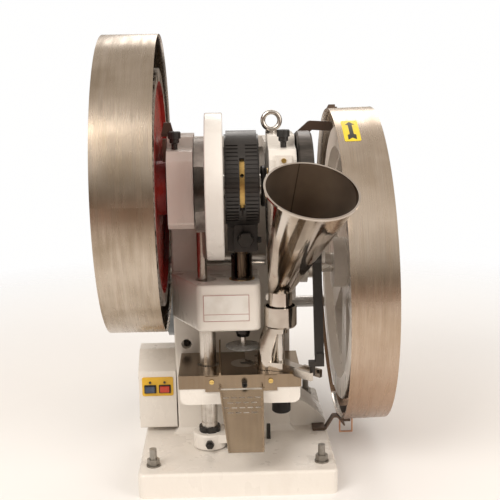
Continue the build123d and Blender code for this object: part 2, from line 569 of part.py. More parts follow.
CUP_BOTTOM, CUP_TOP, CUP_R = 268, 303, 27.3
SPOUT_TOP, SPOUT_FOOT = (69, -113), (54, -112)
# Height, x, y and radius down the horn
HORN = ((CUP_BOTTOM + 2, 69.5, -113, 19), (244, 60, -111, 18.5), (BAR_TOP, 53, -112, 16.5))
FORK_ANGLE = -47
WINDOW_X, WINDOW_Y = 40.4, -58.6  # lies over the die when the boot is turned 30 degrees
with BuildPart() as boot:
    # Thin shoe that wipes the powder across the die
    with BuildSketch(Plane.XY.offset(BAR_BOTTOM)):
        Polygon((53, -28), (17, -28), (17, -75), (52, -107), (70, -100), (66, -86), (53, -70), align=None)
    extrude(amount=3.2)
    # Bar: hub round the post, arm to the spout, arm to the fork
    with BuildSketch(Plane.XY.offset(BAR_BOTTOM)):
        with Locations((BOOT_X, BOOT_Y)):
            Circle(13)
        bar_outline(((BOOT_X, BOOT_Y), SPOUT_FOOT), 30)
    extrude(amount=BAR_TOP - BAR_BOTTOM)
    with BuildSketch(Plane.XY.offset(BAR_BOTTOM)):
        with Locations(Location((BOOT_X, BOOT_Y, 0), (0, 0, FORK_ANGLE))):
            with Locations((22, 0)):
                Rectangle(44, 18)
            with Locations((61, 0)):
                Rectangle(38, 28)
            with Locations((64, 0)):
                Rectangle(36, 16.5, mode=Mode.SUBTRACT)
    extrude(amount=BAR_TOP - BAR_BOTTOM)
    # Feed cup with its hub, and the spout down to the shoe
    cup = ((0, 256), (11.5, 256), (12.5, CUP_BOTTOM - 4), (CUP_R - 2, CUP_BOTTOM), (CUP_R, CUP_BOTTOM + 3))
    cup += ((CUP_R, CUP_TOP), (CUP_R - 2.8, CUP_TOP), (CUP_R - 2.8, CUP_BOTTOM + 6), (0, CUP_BOTTOM + 3))
    turned_z(BOOT_X, BOOT_Y, cup)
    for z, x, y, radius in HORN:
        with BuildSketch(Plane.XY.offset(z)):
            with Locations((x, y)):
                Circle(radius)
    loft()
    with BuildSketch(Plane.XY.offset(BAR_BOTTOM)):
        with Locations(HORN[-1][1:3]):
            Circle(HORN[-1][3])
    extrude(amount=BAR_TOP - BAR_BOTTOM)
    # Powder passage from the cup to the shoe
    with BuildSketch(Plane.XY.offset(CUP_BOTTOM + 6)):
        with Locations(SPOUT_TOP):
            Circle(7.5)
    with BuildSketch(Plane.XY.offset(BAR_BOTTOM)):
        with Locations(SPOUT_FOOT):
            Circle(7.5)
    loft(mode=Mode.SUBTRACT)
    # Channel under the shoe, along which the powder reaches the window
    with BuildSketch(Plane.XY.offset(BAR_BOTTOM)):
        bar_outline((SPOUT_FOOT, (WINDOW_X, WINDOW_Y)), 12)
    extrude(amount=1.6, mode=Mode.SUBTRACT)
    rod_z(BAR_BOTTOM - 1, 262, POST_R + RUN_FIT, BOOT_X, BOOT_Y, Mode.SUBTRACT)
    rod_z(BAR_BOTTOM, BAR_TOP, 7, WINDOW_X, WINDOW_Y, Mode.SUBTRACT)
save(boot.part, "feed_boot")

with BuildPart() as hopper:
    mouth = Plane(origin=HOPPER_MOUTH, x_dir=(1, 0, -0.136), z_dir=(0.12, -0.455, 0.883))
    neck = Plane(origin=(BOOT_X, BOOT_Y, NECK_Z), x_dir=(1, 0, 0), z_dir=(0, 0, 1))
    for thinner, mode in ((0, Mode.ADD), (HOPPER_T, Mode.SUBTRACT)):
        with BuildSketch(neck):
            Circle(HOPPER_TUBE_R - thinner)
        with BuildSketch(mouth):
            Circle(HOPPER_MOUTH_R - thinner)
        loft(mode=mode)
        rod_z(NECK_FOOT, NECK_Z, HOPPER_TUBE_R - thinner, BOOT_X, BOOT_Y, mode)
    # Rolled edge of the mouth
    with BuildSketch(mouth):
        Circle(HOPPER_MOUTH_R + 2)
        Circle(HOPPER_MOUTH_R - HOPPER_T, mode=Mode.SUBTRACT)
    extrude(amount=3)
save(hopper.part, "hopper")

FORK_PIN_X, FORK_PIN_Y = 125.3, -173.3
with BuildPart() as swing_lever:
    with BuildSketch(side_plane(LEVER_X)):
        bar_outline(((LEVER_Y, LEVER_Z), (-165, 232)), 20)
        bar_outline(((LEVER_Y, LEVER_Z), (-82, 383)), 16)
        with Locations((LEVER_Y, LEVER_Z)):
            Circle(14)
    extrude(amount=LEVER_T)
    # Foot bent in over the fork of the boot, and the pin that stands in it
    block(119, LEVER_X + LEVER_T, FORK_PIN_Y - 6, FORK_PIN_Y + 6, 214, 222)
    block(LEVER_X, LEVER_X + LEVER_T, FORK_PIN_Y - 6, FORK_PIN_Y + 14, 214, 236)
    rod_z(198, 214, 4.5, FORK_PIN_X, FORK_PIN_Y)
    # Roller under the feed cam, on its stub
    rod_x(118, LEVER_X, 10, -82, 383)
    rod_x(LEVER_X - 1, LEVER_X + LEVER_T + 1, 6 + RUN_FIT, LEVER_Y, LEVER_Z, Mode.SUBTRACT)
save(swing_lever.part, "swing_lever")

with BuildPart() as side_brackets:
    # Arm of the lever, standing off the column's right side
    with BuildSketch(side_plane(104)):
        bar_outline(((LEVER_Y, LEVER_Z), (-60, LEVER_Z), (20, LEVER_Z)), 17)
        Polygon((28, 370), (28, 398), (-20, 394), (-60, 393.5), (-60, 376.5), (-20, 374), align=None)
    extrude(amount=13)
    block(COLUMN_RIGHT, 104, -16, 28, 370, 398)
    rod_x(104, 150, 6, LEVER_Y, LEVER_Z)
    rod_x(117, LEVER_X - 0.5, 10, LEVER_Y, LEVER_Z)
    rod_x(LEVER_X + LEVER_T + 0.5, 150, 10, LEVER_Y, LEVER_Z)
    # Saddle behind the neck of the hopper, hung from the lever's arm
    rod_z(310, 320, 25, BOOT_X, BOOT_Y)
    block(BOOT_X - 26, BOOT_X + 26, BOOT_Y - 26, BOOT_Y + 8, 309, 321, Mode.SUBTRACT)
    block(BOOT_X, 104, BOOT_Y + 21.5, BOOT_Y + 27, 310, 322)
    block(92, 104, BOOT_Y + 21.5, BOOT_Y + 27, 318, 392)
    rod_z(300, 325, HOPPER_TUBE_R + RUN_FIT, BOOT_X, BOOT_Y, Mode.SUBTRACT)
save(side_brackets.part, "side_brackets")

# ---------------------------------------------------------------- drive group

with BuildPart() as drive_shaft:
    rod_x(-154, 250, DRIVE_R, DRIVE_Y, DRIVE_Z)
    chamfer(drive_shaft.edges(), 1.5)
    # Collar between the bush and the flywheel
    rod_x(139, 149, 28, DRIVE_Y, DRIVE_Z)
save(drive_shaft.part, "drive_shaft")

with BuildPart() as pinion:
    with BuildSketch(side_plane(GEAR_LEFT, DRIVE_Y, DRIVE_Z)):
        first_tooth = MESH_ANGLE + 180 + 180 / PINION_TEETH
        with BuildLine():
            Polyline(*gear_outline(PINION_TEETH, MODULE, 1.25 * MODULE, 0.35, first_tooth), close=True)
        make_face()
    extrude(amount=GEAR_RIGHT - GEAR_LEFT)
    rod_x(GEAR_LEFT, GEAR_RIGHT, DRIVE_R, DRIVE_Y, DRIVE_Z, Mode.SUBTRACT)
save(pinion.part, "pinion")

RIM_R, HUB_R = 213, 46
with BuildPart() as flywheel:
    rod_x(FLYWHEEL_LEFT, FLYWHEEL_RIGHT, FLYWHEEL_R, DRIVE_Y, DRIVE_Z)
    chamfer(flywheel.edges(), 2)
    # Web set back from the rim and the hub on both sides
    for x0, x1 in ((FLYWHEEL_LEFT, 206), (224, FLYWHEEL_RIGHT)):
        turned_x(DRIVE_Y, DRIVE_Z, ((x0, HUB_R), (x1, HUB_R), (x1, RIM_R), (x0, RIM_R)), Mode.SUBTRACT)
    # Six windows that leave six spokes
    with BuildSketch(side_plane(206, DRIVE_Y, DRIVE_Z)) as windows:
        for turn in range(6):
            with Locations(Location((0, 0, 0), (0, 0, 60 * turn))):
                rim_side = ((188, -66), (199, -34), (203, 0), (199, 34), (188, 66))
                Polygon((72, -11), *rim_side, (72, 11), align=None)
        fillet(windows.vertices(), 9)
    extrude(amount=18, mode=Mode.SUBTRACT)
    rod_x(183, 247, HUB_R, DRIVE_Y, DRIVE_Z)
    # Belt groove in the rim
    half = BELT_W / 2 + 0.75
    left, right = BELT_X - half, BELT_X + half
    groove = ((left, GROOVE_R), (right, GROOVE_R), (right, 252), (left, 252))
    turned_x(DRIVE_Y, DRIVE_Z, groove, Mode.SUBTRACT)
    rod_x(180, 250, DRIVE_R, DRIVE_Y, DRIVE_Z, Mode.SUBTRACT)
save(flywheel.part, "flywheel")

with BuildPart() as motor_pulley:
    rod_x(200, 230, PULLEY_R, MOTOR_Y, MOTOR_Z)
    half = BELT_W / 2 + 0.75
    left, right = BELT_X - half, BELT_X + half
    groove = ((left, PULLEY_GROOVE_R), (right, PULLEY_GROOVE_R), (right, 40), (left, 40))
    turned_x(MOTOR_Y, MOTOR_Z, groove, Mode.SUBTRACT)
    rod_x(86, 236, 12, MOTOR_Y, MOTOR_Z)
save(motor_pulley.part, "motor_pulley")

with BuildPart() as belt:
    with BuildSketch(side_plane(BELT_X - BELT_W / 2, DRIVE_Y, DRIVE_Z)):
        belt_loop(GROOVE_R + BELT_GAP + BELT_T, PULLEY_GROOVE_R + BELT_GAP + BELT_T)
        belt_loop(GROOVE_R + BELT_GAP, PULLEY_GROOVE_R + BELT_GAP, Mode.SUBTRACT)
    extrude(amount=BELT_W)
save(belt.part, "belt")

with BuildPart() as motor:
    rod_x(-138, -118, MOTOR_R + 2, MOTOR_Y, MOTOR_Z)
    rod_x(-118, 90, MOTOR_R, MOTOR_Y, MOTOR_Z)
    rod_x(90, 110, MOTOR_R + 2, MOTOR_Y, MOTOR_Z)
    # Feet, terminal box on top with its cable gland
    block(-96, -56, MOTOR_Y - 52, MOTOR_Y + 52, 118, 150)
    block(28, 68, MOTOR_Y - 52, MOTOR_Y + 52, 118, 150)
    block(-60, 20, MOTOR_Y - 30, MOTOR_Y + 30, 240, 276)
    rod_y(MOTOR_Y + 30, MOTOR_Y + 46, 9, -20, 258)
    rod_x(84, 110, 12 + RUN_FIT, MOTOR_Y, MOTOR_Z, Mode.SUBTRACT)
save(motor.part, "motor")

with BuildPart() as motor_bracket:
    block(-116, 92, COLUMN_BACK + 3, 400, 110, 118)
    block(hollow_left - 4, hollow_right + 4, COLUMN_BACK + 3, COLUMN_BACK + 11, 58, 110)
    for x in (-92, 74):
        with BuildSketch(side_plane(x)):
            Polygon((COLUMN_BACK + 11, 110), (COLUMN_BACK + 11, 62), (350, 110), align=None)
        extrude(amount=8)
save(motor_bracket.part, "motor_bracket")

# ---------------------------------------------------------------- guards

with BuildPart() as gear_guard:
    with BuildSketch(side_plane(GEAR_GUARD_LEFT, GEAR_GUARD_Y, GEAR_GUARD_Z)):
        Circle(GEAR_GUARD_R)
    extrude(amount=GEAR_GUARD_RIGHT - GEAR_GUARD_LEFT)
    with BuildSketch(side_plane(GEAR_GUARD_LEFT + GUARD_T, GEAR_GUARD_Y, GEAR_GUARD_Z)):
        Circle(GEAR_GUARD_R - GUARD_T)
    extrude(amount=GEAR_GUARD_RIGHT - GEAR_GUARD_LEFT, mode=Mode.SUBTRACT)
save(gear_guard.part, "gear_guard")

lean = radians(WHEEL_GUARD_LEAN)
guard_plane = Plane(
    origin=(WHEEL_GUARD_X, DRIVE_Y, WHEEL_GUARD_Z), x_dir=(0, 1, 0), z_dir=(cos(lean), 0, sin(lean))
)
with BuildPart() as wheel_guard:
    with BuildSketch(guard_plane):
        Circle(WHEEL_GUARD_R)
    extrude(amount=WHEEL_GUARD_W)
    with BuildSketch(guard_plane):
        Circle(WHEEL_GUARD_R - GUARD_T)
    extrude(amount=WHEEL_GUARD_W - GUARD_T, mode=Mode.SUBTRACT)
    # Window in the band where the belt comes out
    with BuildSketch(guard_plane.offset(7)):
        ray = [(330 * cos(radians(a)), 330 * sin(radians(a))) for a in (-72, -43, -14, 14)]
        Polygon((0, 0), *ray, align=None)
        Circle(270, mode=Mode.SUBTRACT)
    extrude(amount=60, mode=Mode.SUBTRACT)
save(wheel_guard.part, "wheel_guard")

BAIL_X, BAIL_Y, BAIL_Z, BAIL_R = 206, 30, 41, 1.6
with BuildPart() as guard_brackets:
    # Bent bar from the column's right side up to the wheel guard
    with BuildSketch(front_plane(23)):
        bar_outline(((COLUMN_RIGHT + 8, 528), (COLUMN_RIGHT + 8, 560), (140, 590), (172, 588)), 16)
    extrude(amount=5)
    # Strap from the base's right edge to the wheel guard's foot, on its own foot
    with BuildSketch(front_plane(-12)):
        bar_outline(((148, 43.5), (162, 43.5), (176, 66), (184, 66), (196, 50)), 3)
    extrude(amount=16)
    block(138, 160, -32, -8, BASE_H, 48)
    # Plate from the column's left side to the gear guard's edge
    block(-114, COLUMN_LEFT, 60, 191.5, 476, 526)
    # Lug of the gear guard on the left housing, and its tapered stop
    block(-110, -104, -128, -112, 547, 583)
    block(-114, -104, -88, -72, 584, 588)
    with BuildSketch(Plane.XY.offset(588)):
        with Locations((-104, -80)):
            Rectangle(20, 16)
    with BuildSketch(Plane.XY.offset(606)):
        with Locations((-104, -80)):
            Rectangle(11, 10)
    loft()
    add(wheel_guard.part, mode=Mode.SUBTRACT)
    add(gear_guard.part, mode=Mode.SUBTRACT)
    add(column.part, mode=Mode.SUBTRACT)
save(guard_brackets.part, "guard_brackets")

LATCH_ANGLE = 76.5
latch_out = (cos(radians(LATCH_ANGLE)), sin(radians(LATCH_ANGLE)))
with BuildPart() as guard_latches:
    # Closed toggle latch across the joint at the top of the band
    top_latch = Plane(
        origin=(188, DRIVE_Y + 284 * latch_out[0], WHEEL_GUARD_Z + 284 * latch_out[1]),
        x_dir=(1, 0, 0),
        z_dir=(0, latch_out[0], latch_out[1]),
    )
    with BuildSketch(top_latch.offset(-1.5)):
        Rectangle(18, 52)
    extrude(amount=4)
    with BuildSketch(top_latch.offset(2)):
        Rectangle(12, 40)
    extrude(amount=6)
    # Open toggle latch under the band, with the hole of its bail
    block(BAIL_X - 8, BAIL_X + 8, BAIL_Y - 6, BAIL_Y + 6, BAIL_Z - 5, 51)
    block(BAIL_X - 8, BAIL_X + 8, BAIL_Y - 6, BAIL_Y + 34, 45, 52)
    rod_x(BAIL_X - 9, BAIL_X + 9, BAIL_R + 0.35, BAIL_Y, BAIL_Z, Mode.SUBTRACT)
    add(wheel_guard.part, mode=Mode.SUBTRACT)
save(guard_latches.part, "guard_latches")

BAIL_HALF, BAIL_FOOT = 11.5, 14
with BuildPart() as latch_bail:
    rod_x(BAIL_X - BAIL_HALF, BAIL_X + BAIL_HALF, BAIL_R, BAIL_Y, BAIL_Z)
    rod_x(BAIL_X - BAIL_HALF, BAIL_X + BAIL_HALF, BAIL_R, BAIL_Y, BAIL_FOOT)
    for x in (BAIL_X - BAIL_HALF, BAIL_X + BAIL_HALF):
        rod_z(BAIL_FOOT, BAIL_Z, BAIL_R, x, BAIL_Y)
        for z in (BAIL_FOOT, BAIL_Z):
            with Locations((x, BAIL_Y, z)):
                Sphere(BAIL_R)
save(latch_bail.part, "latch_bail")

# ---------------------------------------------------------------- fasteners and fittings

with BuildPart() as anchor_bolts:
    for x in (-STUD_X, STUD_X):
        for y in (-STUD_Y, STUD_Y):
            rod_z(2, STUD_TOP, STUD_R, x, y)
            rod_z(BASE_H, BASE_H + 2.5, 12, x, y)
            hexagon_z(BASE_H + 2.5, BASE_H + 12.5, 10.4, x, y)
save(anchor_bolts.part, "anchor_bolts")

with BuildPart() as eye_bolt:
    rod_z(573, 584, 4, EYE_X, EYE_Y)
    rod_z(584, 589, 10, EYE_X, EYE_Y)
    with Locations(Location((EYE_X, EYE_Y, EYE_Z), (90, 0, 0))):
        Torus(14, 4)
save(eye_bolt.part, "eye_bolt")

with BuildPart() as oil_cups:
    for x in CUP_X.values():
        turned_z(x, CUP_Y, ((0, 566.8), (5, 566.8), (5, 575), (8, 577), (8, 590), (6, 593), (0, 593)))
    for housing_name in ("left", "right"):
        x0, x1 = HOUSINGS[housing_name]
        with BuildSketch(side_plane(x0 - 1)) as cap_end:
            Polygon((-140, 540), (-140, 563.6), (-137, 564), (-107, 568), (-107, 540), align=None)
        extrude(cap_end.sketch, amount=x1 - x0 + 2, mode=Mode.SUBTRACT)
save(oil_cups.part, "oil_cups")

SCREW_HEADS = ((82.7, MAIN_Y - 68, 548), *((x, TABLE_FRONT - 3, FRONT_SCREW_Z) for x in FRONT_SCREWS))
with BuildPart() as brass_screws:
    for x, y, z in SCREW_HEADS:
        rod_y(y - 2.5, y, 4, x, z)
        block(x - 4, x + 4, y - 2.5, y - 1.6, z - 0.6, z + 0.6, Mode.SUBTRACT)
        rod_y(y, y + 9, 2, x, z)
save(brass_screws.part, "brass_screws")

with BuildPart() as die_screw:
    rod_y(TABLE_FRONT - 14, TABLE_FRONT, 4.5, PUNCH_X, 178)
    with BuildSketch(front_plane(TABLE_FRONT - 10)):
        with Locations((PUNCH_X, 178)):
            RegularPolygon(2.6, 6)
    extrude(amount=4, mode=Mode.SUBTRACT)
    rod_y(TABLE_FRONT, MAIN_Y - DIE_R - 0.5, 3, PUNCH_X, 178)
save(die_screw.part, "die_screw")

with BuildPart() as label_plate:
    block(-52, 25, HEAD_FRONT - 1.2, HEAD_FRONT, 280, 326)
    fillet(label_plate.edges().filter_by(Axis.Y), 3)
save(label_plate.part, "label_plate")

# ---------------------------------------------------------------- switch box

BOX_LEFT, BOX_RIGHT, BOX_BOTTOM = -174.5, -107.3, 51
BUTTONS = {"start_button": (-154, 125.7), "stop_button": (-127.8, 125.7)}
BUTTON_W, BUTTON_H, BUTTON_GAP = 17, 11, 0.5


def button_hole(x, z, y0, y1):
    """Square hole for a push button."""
    half_w, half_h = BUTTON_W / 2 + BUTTON_GAP, BUTTON_H / 2 + BUTTON_GAP
    block(x - half_w, x + half_w, y0, y1, z - half_h, z + half_h, Mode.SUBTRACT)


with BuildPart() as switch_box:
    with BuildSketch(side_plane(BOX_LEFT)):
        Polygon((-20, BOX_BOTTOM), (-20, 158), (25, 187), (60, 187), (60, BOX_BOTTOM), align=None)
    extrude(amount=BOX_RIGHT - BOX_LEFT)
    fillet(switch_box.edges().filter_by(Axis.X).group_by(Axis.Y)[0], 3)
    # Space for the contacts, open toward the column
    block(-168, BOX_RIGHT, 4, 54, 60, 110, Mode.SUBTRACT)
    for x, z in BUTTONS.values():
        button_hole(x, z, -21, 5)
    # Cable gland under the box
    rod_z(BASE_H + 1, BOX_BOTTOM, 8, -150, 30)
save(switch_box.part, "switch_box")

with BuildPart() as switch_panel:
    block(-168.4, -112.6, -21.5, -20, 112.5, 147.5)
    fillet(switch_panel.edges().filter_by(Axis.Y), 3)
    for x, z in BUTTONS.values():
        button_hole(x, z, -22, -19)
        # Indicator lens above the button
        rod_y(-23.2, -21.5, 2.2, x, 138)
save(switch_panel.part, "switch_panel")

for name, (x, z) in BUTTONS.items():
    with BuildPart() as button:
        block(x - BUTTON_W / 2, x + BUTTON_W / 2, -27, -6, z - BUTTON_H / 2, z + BUTTON_H / 2)
        fillet(button.edges().filter_by(Axis.Y), 1.2)
        fillet(button.faces().sort_by(Axis.Y)[0].edges(), 0.9)
    save(button.part, name)

# ---------------------------------------------------------------- table fittings

CHUTE_TOP_Z, CHUTE_RUN, CHUTE_DROP = 167, 62, 85
slope = hypot(CHUTE_RUN, CHUTE_DROP)
chute_plane = Plane(
    origin=(0, TABLE_FRONT - 3.5, CHUTE_TOP_Z),
    x_dir=(1, 0, 0),
    z_dir=(0, -CHUTE_DROP / slope, CHUTE_RUN / slope),
)
with BuildPart() as chute:
    with BuildSketch(chute_plane):
        Polygon((-28, 0), (45, 0), (43.5, -slope), (-15.5, -slope), align=None)
        # Sieve slots that let dust fall through
        for row, count in enumerate((5, 4, 5, 4)):
            with Locations((9.5, -13.5 - 8.5 * row)):
                with GridLocations(13.2, 1, count, 1):
                    SlotOverall(9.5, 2, mode=Mode.SUBTRACT)
    extrude(amount=-1.5)
    # Side walls
    with BuildSketch(chute_plane):
        Polygon((-28, 0), (-26, 0), (-13.5, -slope), (-15.5, -slope), align=None)
        Polygon((45, 0), (43, 0), (41.5, -slope), (43.5, -slope), align=None)
    extrude(amount=11)
    # Ears screwed to the front of the table
    for x0, x1, neck in ((-51.5, -29.5, -27), (47.5, 68.5, 44)):
        block(x0, x1, TABLE_FRONT - 3, TABLE_FRONT - TRAY_T, 168, 191)
        block(min(x0, neck - 1), max(x1, neck + 1), TABLE_FRONT - 3, TABLE_FRONT - TRAY_T, 164, 169)
    for x in FRONT_SCREWS:
        rod_y(TABLE_FRONT - 5, TABLE_FRONT, 2, x, FRONT_SCREW_Z, Mode.SUBTRACT)
    block(-60, 70, TABLE_FRONT - TRAY_T, TABLE_FRONT + 20, 140, 200, Mode.SUBTRACT)
save(chute.part, "chute")

with BuildPart() as guide_fence:
    with BuildSketch(side_plane(-28)):
        Polygon((-150, TABLE_TOP), (-62, TABLE_TOP), (-62, 228), (-150, TABLE_TOP + 5), align=None)
    extrude(amount=3)
    block(-32, -25, -140, -102, TABLE_TOP, TABLE_TOP + 2)
save(guide_fence.part, "guide_fence")
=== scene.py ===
# ---- The press as a whole: cast and machined parts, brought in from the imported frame
# Every CAD node keeps its shape. The sections below give each one its finish and add the
# small fittings, in the order in which a fitter would put the press together.
import math

import bpy
from mathutils import Matrix, Vector


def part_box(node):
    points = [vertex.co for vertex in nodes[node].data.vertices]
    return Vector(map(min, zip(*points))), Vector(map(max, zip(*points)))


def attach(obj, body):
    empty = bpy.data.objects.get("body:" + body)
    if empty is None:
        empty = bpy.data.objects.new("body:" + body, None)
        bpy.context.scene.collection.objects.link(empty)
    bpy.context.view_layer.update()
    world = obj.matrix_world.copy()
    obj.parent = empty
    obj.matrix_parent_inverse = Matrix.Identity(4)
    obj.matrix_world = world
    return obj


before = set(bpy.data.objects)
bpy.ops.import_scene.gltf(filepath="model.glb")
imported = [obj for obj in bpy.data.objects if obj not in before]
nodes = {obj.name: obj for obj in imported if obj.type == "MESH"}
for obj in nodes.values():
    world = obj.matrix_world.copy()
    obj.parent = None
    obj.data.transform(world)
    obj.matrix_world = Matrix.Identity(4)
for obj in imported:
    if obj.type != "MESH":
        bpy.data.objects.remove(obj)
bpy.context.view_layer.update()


def wear(material, *names):
    """Gives CAD nodes their finish."""
    for name in names:
        for slot in nodes[name].material_slots:
            slot.material = material


# ---- Base, column, head, table and housings: grey iron castings
# Cast in sand, filled, and sprayed with a thick warm-white gloss enamel that still shows the
# slow waves of the filler and a faint orange peel. They are bolted together on machined faces.
def feed(tree, socket, value):
    """Links a socket to a value that varies, or sets it to one that doesn't."""
    if isinstance(value, bpy.types.NodeSocket):
        tree.links.new(value, socket)
    elif isinstance(value, tuple) and socket.type == "RGBA":
        socket.default_value = (*value[:3], 1)
    else:
        socket.default_value = value


def place(tree, kind, **inputs):
    """A shader node of one kind, with its named inputs fed."""
    made = tree.nodes.new("ShaderNode" + kind)
    for name, value in inputs.items():
        feed(tree, made.inputs[name.replace("_", " ")], value)
    return made


def mix(tree, factor, first, second):
    """Blends two colours by a factor."""
    made = tree.nodes.new("ShaderNodeMix")
    made.data_type = "RGBA"
    for index, value in ((0, factor), (6, first), (7, second)):
        feed(tree, made.inputs[index], value)
    return made.outputs[2]


def figure(tree, operation, *values):
    """One step of arithmetic on factors."""
    made = tree.nodes.new("ShaderNodeMath")
    made.operation = operation
    for socket, value in zip(made.inputs, values):
        feed(tree, socket, value)
    return made.outputs[0]


def times(tree, first, second):
    """Product of two figures."""
    return figure(tree, "MULTIPLY", first, second)


def plus(tree, first, second):
    """Sum of two figures."""
    return figure(tree, "ADD", first, second)


def spread(tree, factor, low, high, start=0.0, end=1.0):
    """Stretches a factor from the range start to end onto the range low to high, and stops there."""
    return place(tree, "MapRange", Value=factor, From_Min=start, From_Max=end, To_Min=low, To_Max=high).outputs[0]


def along(tree):
    """The three coordinates of the point on the piece, in metres from the press's origin."""
    point = place(tree, "TexCoord").outputs["Object"]
    return place(tree, "SeparateXYZ", Vector=point).outputs


def noise(tree, scale, detail=3.0, stretch=(1, 1, 1)):
    """A smooth random factor over the piece; stretch lengthens its blotches along an axis."""
    point = place(tree, "TexCoord").outputs["Object"]
    drawn = place(tree, "Mapping", Vector=point, Scale=tuple(1 / s for s in stretch)).outputs["Vector"]
    return place(tree, "TexNoise", Vector=drawn, Scale=scale, Detail=detail).outputs["Fac"]


def finish(name, colour, metallic=0.0, roughness=0.5, coat=0.0):
    """A material with plain values on its shader; returns the material, its tree and its shader's inputs."""
    material = bpy.data.materials.new(name)
    material.use_nodes = True
    inputs = material.node_tree.nodes["Principled BSDF"].inputs
    inputs["Base Color"].default_value = (*colour, 1)
    inputs["Metallic"].default_value = metallic
    inputs["Roughness"].default_value = roughness
    inputs["Coat Weight"].default_value = coat
    return material, material.node_tree, inputs


def relief(tree, shader, height, depth, strength=0.5):
    """Turns a height into a bump on the surface, depth in metres."""
    made = place(tree, "Bump", Height=height, Distance=depth, Strength=strength)
    tree.links.new(made.outputs["Normal"], shader["Normal"])


def new_group(name, inputs, outputs):
    """An empty shader node group and what it is given."""
    group = bpy.data.node_groups.new(name, "ShaderNodeTree")
    for label, kind, value in inputs:
        group.interface.new_socket(label, in_out="INPUT", socket_type="NodeSocket" + kind).default_value = value
    for label, kind in outputs:
        group.interface.new_socket(label, in_out="OUTPUT", socket_type="NodeSocket" + kind)
    return group, group.nodes.new("NodeGroupInput").outputs


def close_group(group, **results):
    """Links the results to the group's outputs."""
    end = group.nodes.new("NodeGroupOutput")
    for name, value in results.items():
        group.links.new(value, end.inputs[name])


def use(tree, group, **inputs):
    """A node group placed in a material, with its inputs fed."""
    made = tree.nodes.new("ShaderNodeGroup")
    made.node_tree = group
    for name, value in inputs.items():
        feed(tree, made.inputs[name], value)
    return made.outputs


# Slow changes of tone, a darkening towards the bottom of the machine, and the skin's fine relief
enamel_skin, given = new_group(
    "Enamel skin",
    (("Clean", "Color", (1, 1, 1, 1)), ("Soiled", "Color", (0.5, 0.4, 0.3, 1)), ("Grain", "Float", 220.0)),
    (("Tone", "Color"), ("Gloss", "Float"), ("Height", "Float")),
)
waves = noise(enamel_skin, 7.0, 4.0)
smears = noise(enamel_skin, 26.0, 6.0, (1, 1, 2.5))
soil_and_bottom_darkening = times(enamel_skin, spread(enamel_skin, smears, 0, 1, 0.56, 0.85), 0.22)
height = along(enamel_skin)["Z"]
# darker towards the bottom: the enamel shifts towards its dark tone from 16 cm down to 3 cm above the floor
darkening_near_bottom = times(enamel_skin, spread(enamel_skin, height, 0.16, 0, 0.03, 0.16), waves)
soil_and_bottom_darkening = plus(enamel_skin, soil_and_bottom_darkening, darkening_near_bottom)
peel = place(enamel_skin, "TexNoise", Vector=place(enamel_skin, "TexCoord").outputs["Object"], Scale=given["Grain"])
tone = mix(enamel_skin, soil_and_bottom_darkening, given["Clean"], given["Soiled"])
gloss = spread(enamel_skin, smears, 0.22, 0.5, 0.35, 0.75)
bumps = plus(enamel_skin, times(enamel_skin, waves, 3.0), peel.outputs["Fac"])
close_group(enamel_skin, Tone=tone, Gloss=gloss, Height=bumps)


# the soiled colour is the dark end both of the smears and of the darkening towards the bottom
def enamel(name, clean, soiled_and_bottom_dark, depth=0.0006):
    """Sprayed enamel over cast iron."""
    material, tree, shader = finish(name, clean, coat=0.25)
    skin = use(tree, enamel_skin, Clean=clean, Soiled=soiled_and_bottom_dark)
    feed(tree, shader["Base Color"], skin["Tone"])
    feed(tree, shader["Roughness"], skin["Gloss"])
    relief(tree, shader, skin["Height"], depth)
    return material


white_enamel = enamel("Warm white enamel", (0.80, 0.755, 0.695), (0.48, 0.39, 0.31))
castings = ("base", "column", "ram_guide_head", "table", "bearing_housing_left", "bearing_housing_right")
wear(white_enamel, *castings, "column_cover", "side_brackets", "lower_arm", "switch_box")


# ---- Skirt at the column's foot
# The base casting rises to the column in a hollow curve, filled and painted over with the rest.
def begin(kind, name, **sizes):
    """Adds a primitive at its size and place, alone in the selection, with its place in its mesh."""
    bpy.ops.object.select_all(action="DESELECT")
    getattr(bpy.ops.mesh, "primitive_" + kind + "_add")(**sizes)
    piece = bpy.context.object
    piece.name = name
    piece.data.name = name
    bpy.ops.object.transform_apply(location=True, rotation=True, scale=True)
    return piece


def block(name, low, high):
    """A box primitive between two corners, in metres."""
    middle = [(a + b) / 2 for a, b in zip(low, high)]
    size = [b - a for a, b in zip(low, high)]
    return begin("cube", name, size=1, location=middle, scale=size)


TURNS = {"X": (0, math.pi / 2, 0), "Y": (math.pi / 2, 0, 0), "Z": (0, 0, 0)}


def barrel(name, middle, radius, length, axis, sides=48):
    """A cylinder primitive along one axis, in metres."""
    return begin("cylinder", name, vertices=sides, radius=radius, depth=length, location=middle, rotation=TURNS[axis])


def choose(piece, faces=None, edges=None):
    """Selects the faces that pass a test of middle and normal, or the edges that pass one of both ends."""
    bpy.ops.object.select_all(action="DESELECT")
    piece.select_set(True)
    bpy.context.view_layer.objects.active = piece
    mesh = piece.data
    for group in (mesh.vertices, mesh.edges, mesh.polygons):
        group.foreach_set("select", [False] * len(group))
    if faces:
        bpy.context.tool_settings.mesh_select_mode = (False, False, True)
        for face in mesh.polygons:
            face.select = faces(face.center, face.normal)
    if edges:
        bpy.context.tool_settings.mesh_select_mode = (False, True, False)
        for edge in mesh.edges:
            edge.select = edges(*(mesh.vertices[index].co for index in edge.vertices))


def work(operator, **settings):
    """Runs one edit-mode operator on the selection of the active piece."""
    bpy.ops.object.mode_set(mode="EDIT")
    getattr(bpy.ops.mesh, operator)(**settings)
    bpy.ops.object.mode_set(mode="OBJECT")


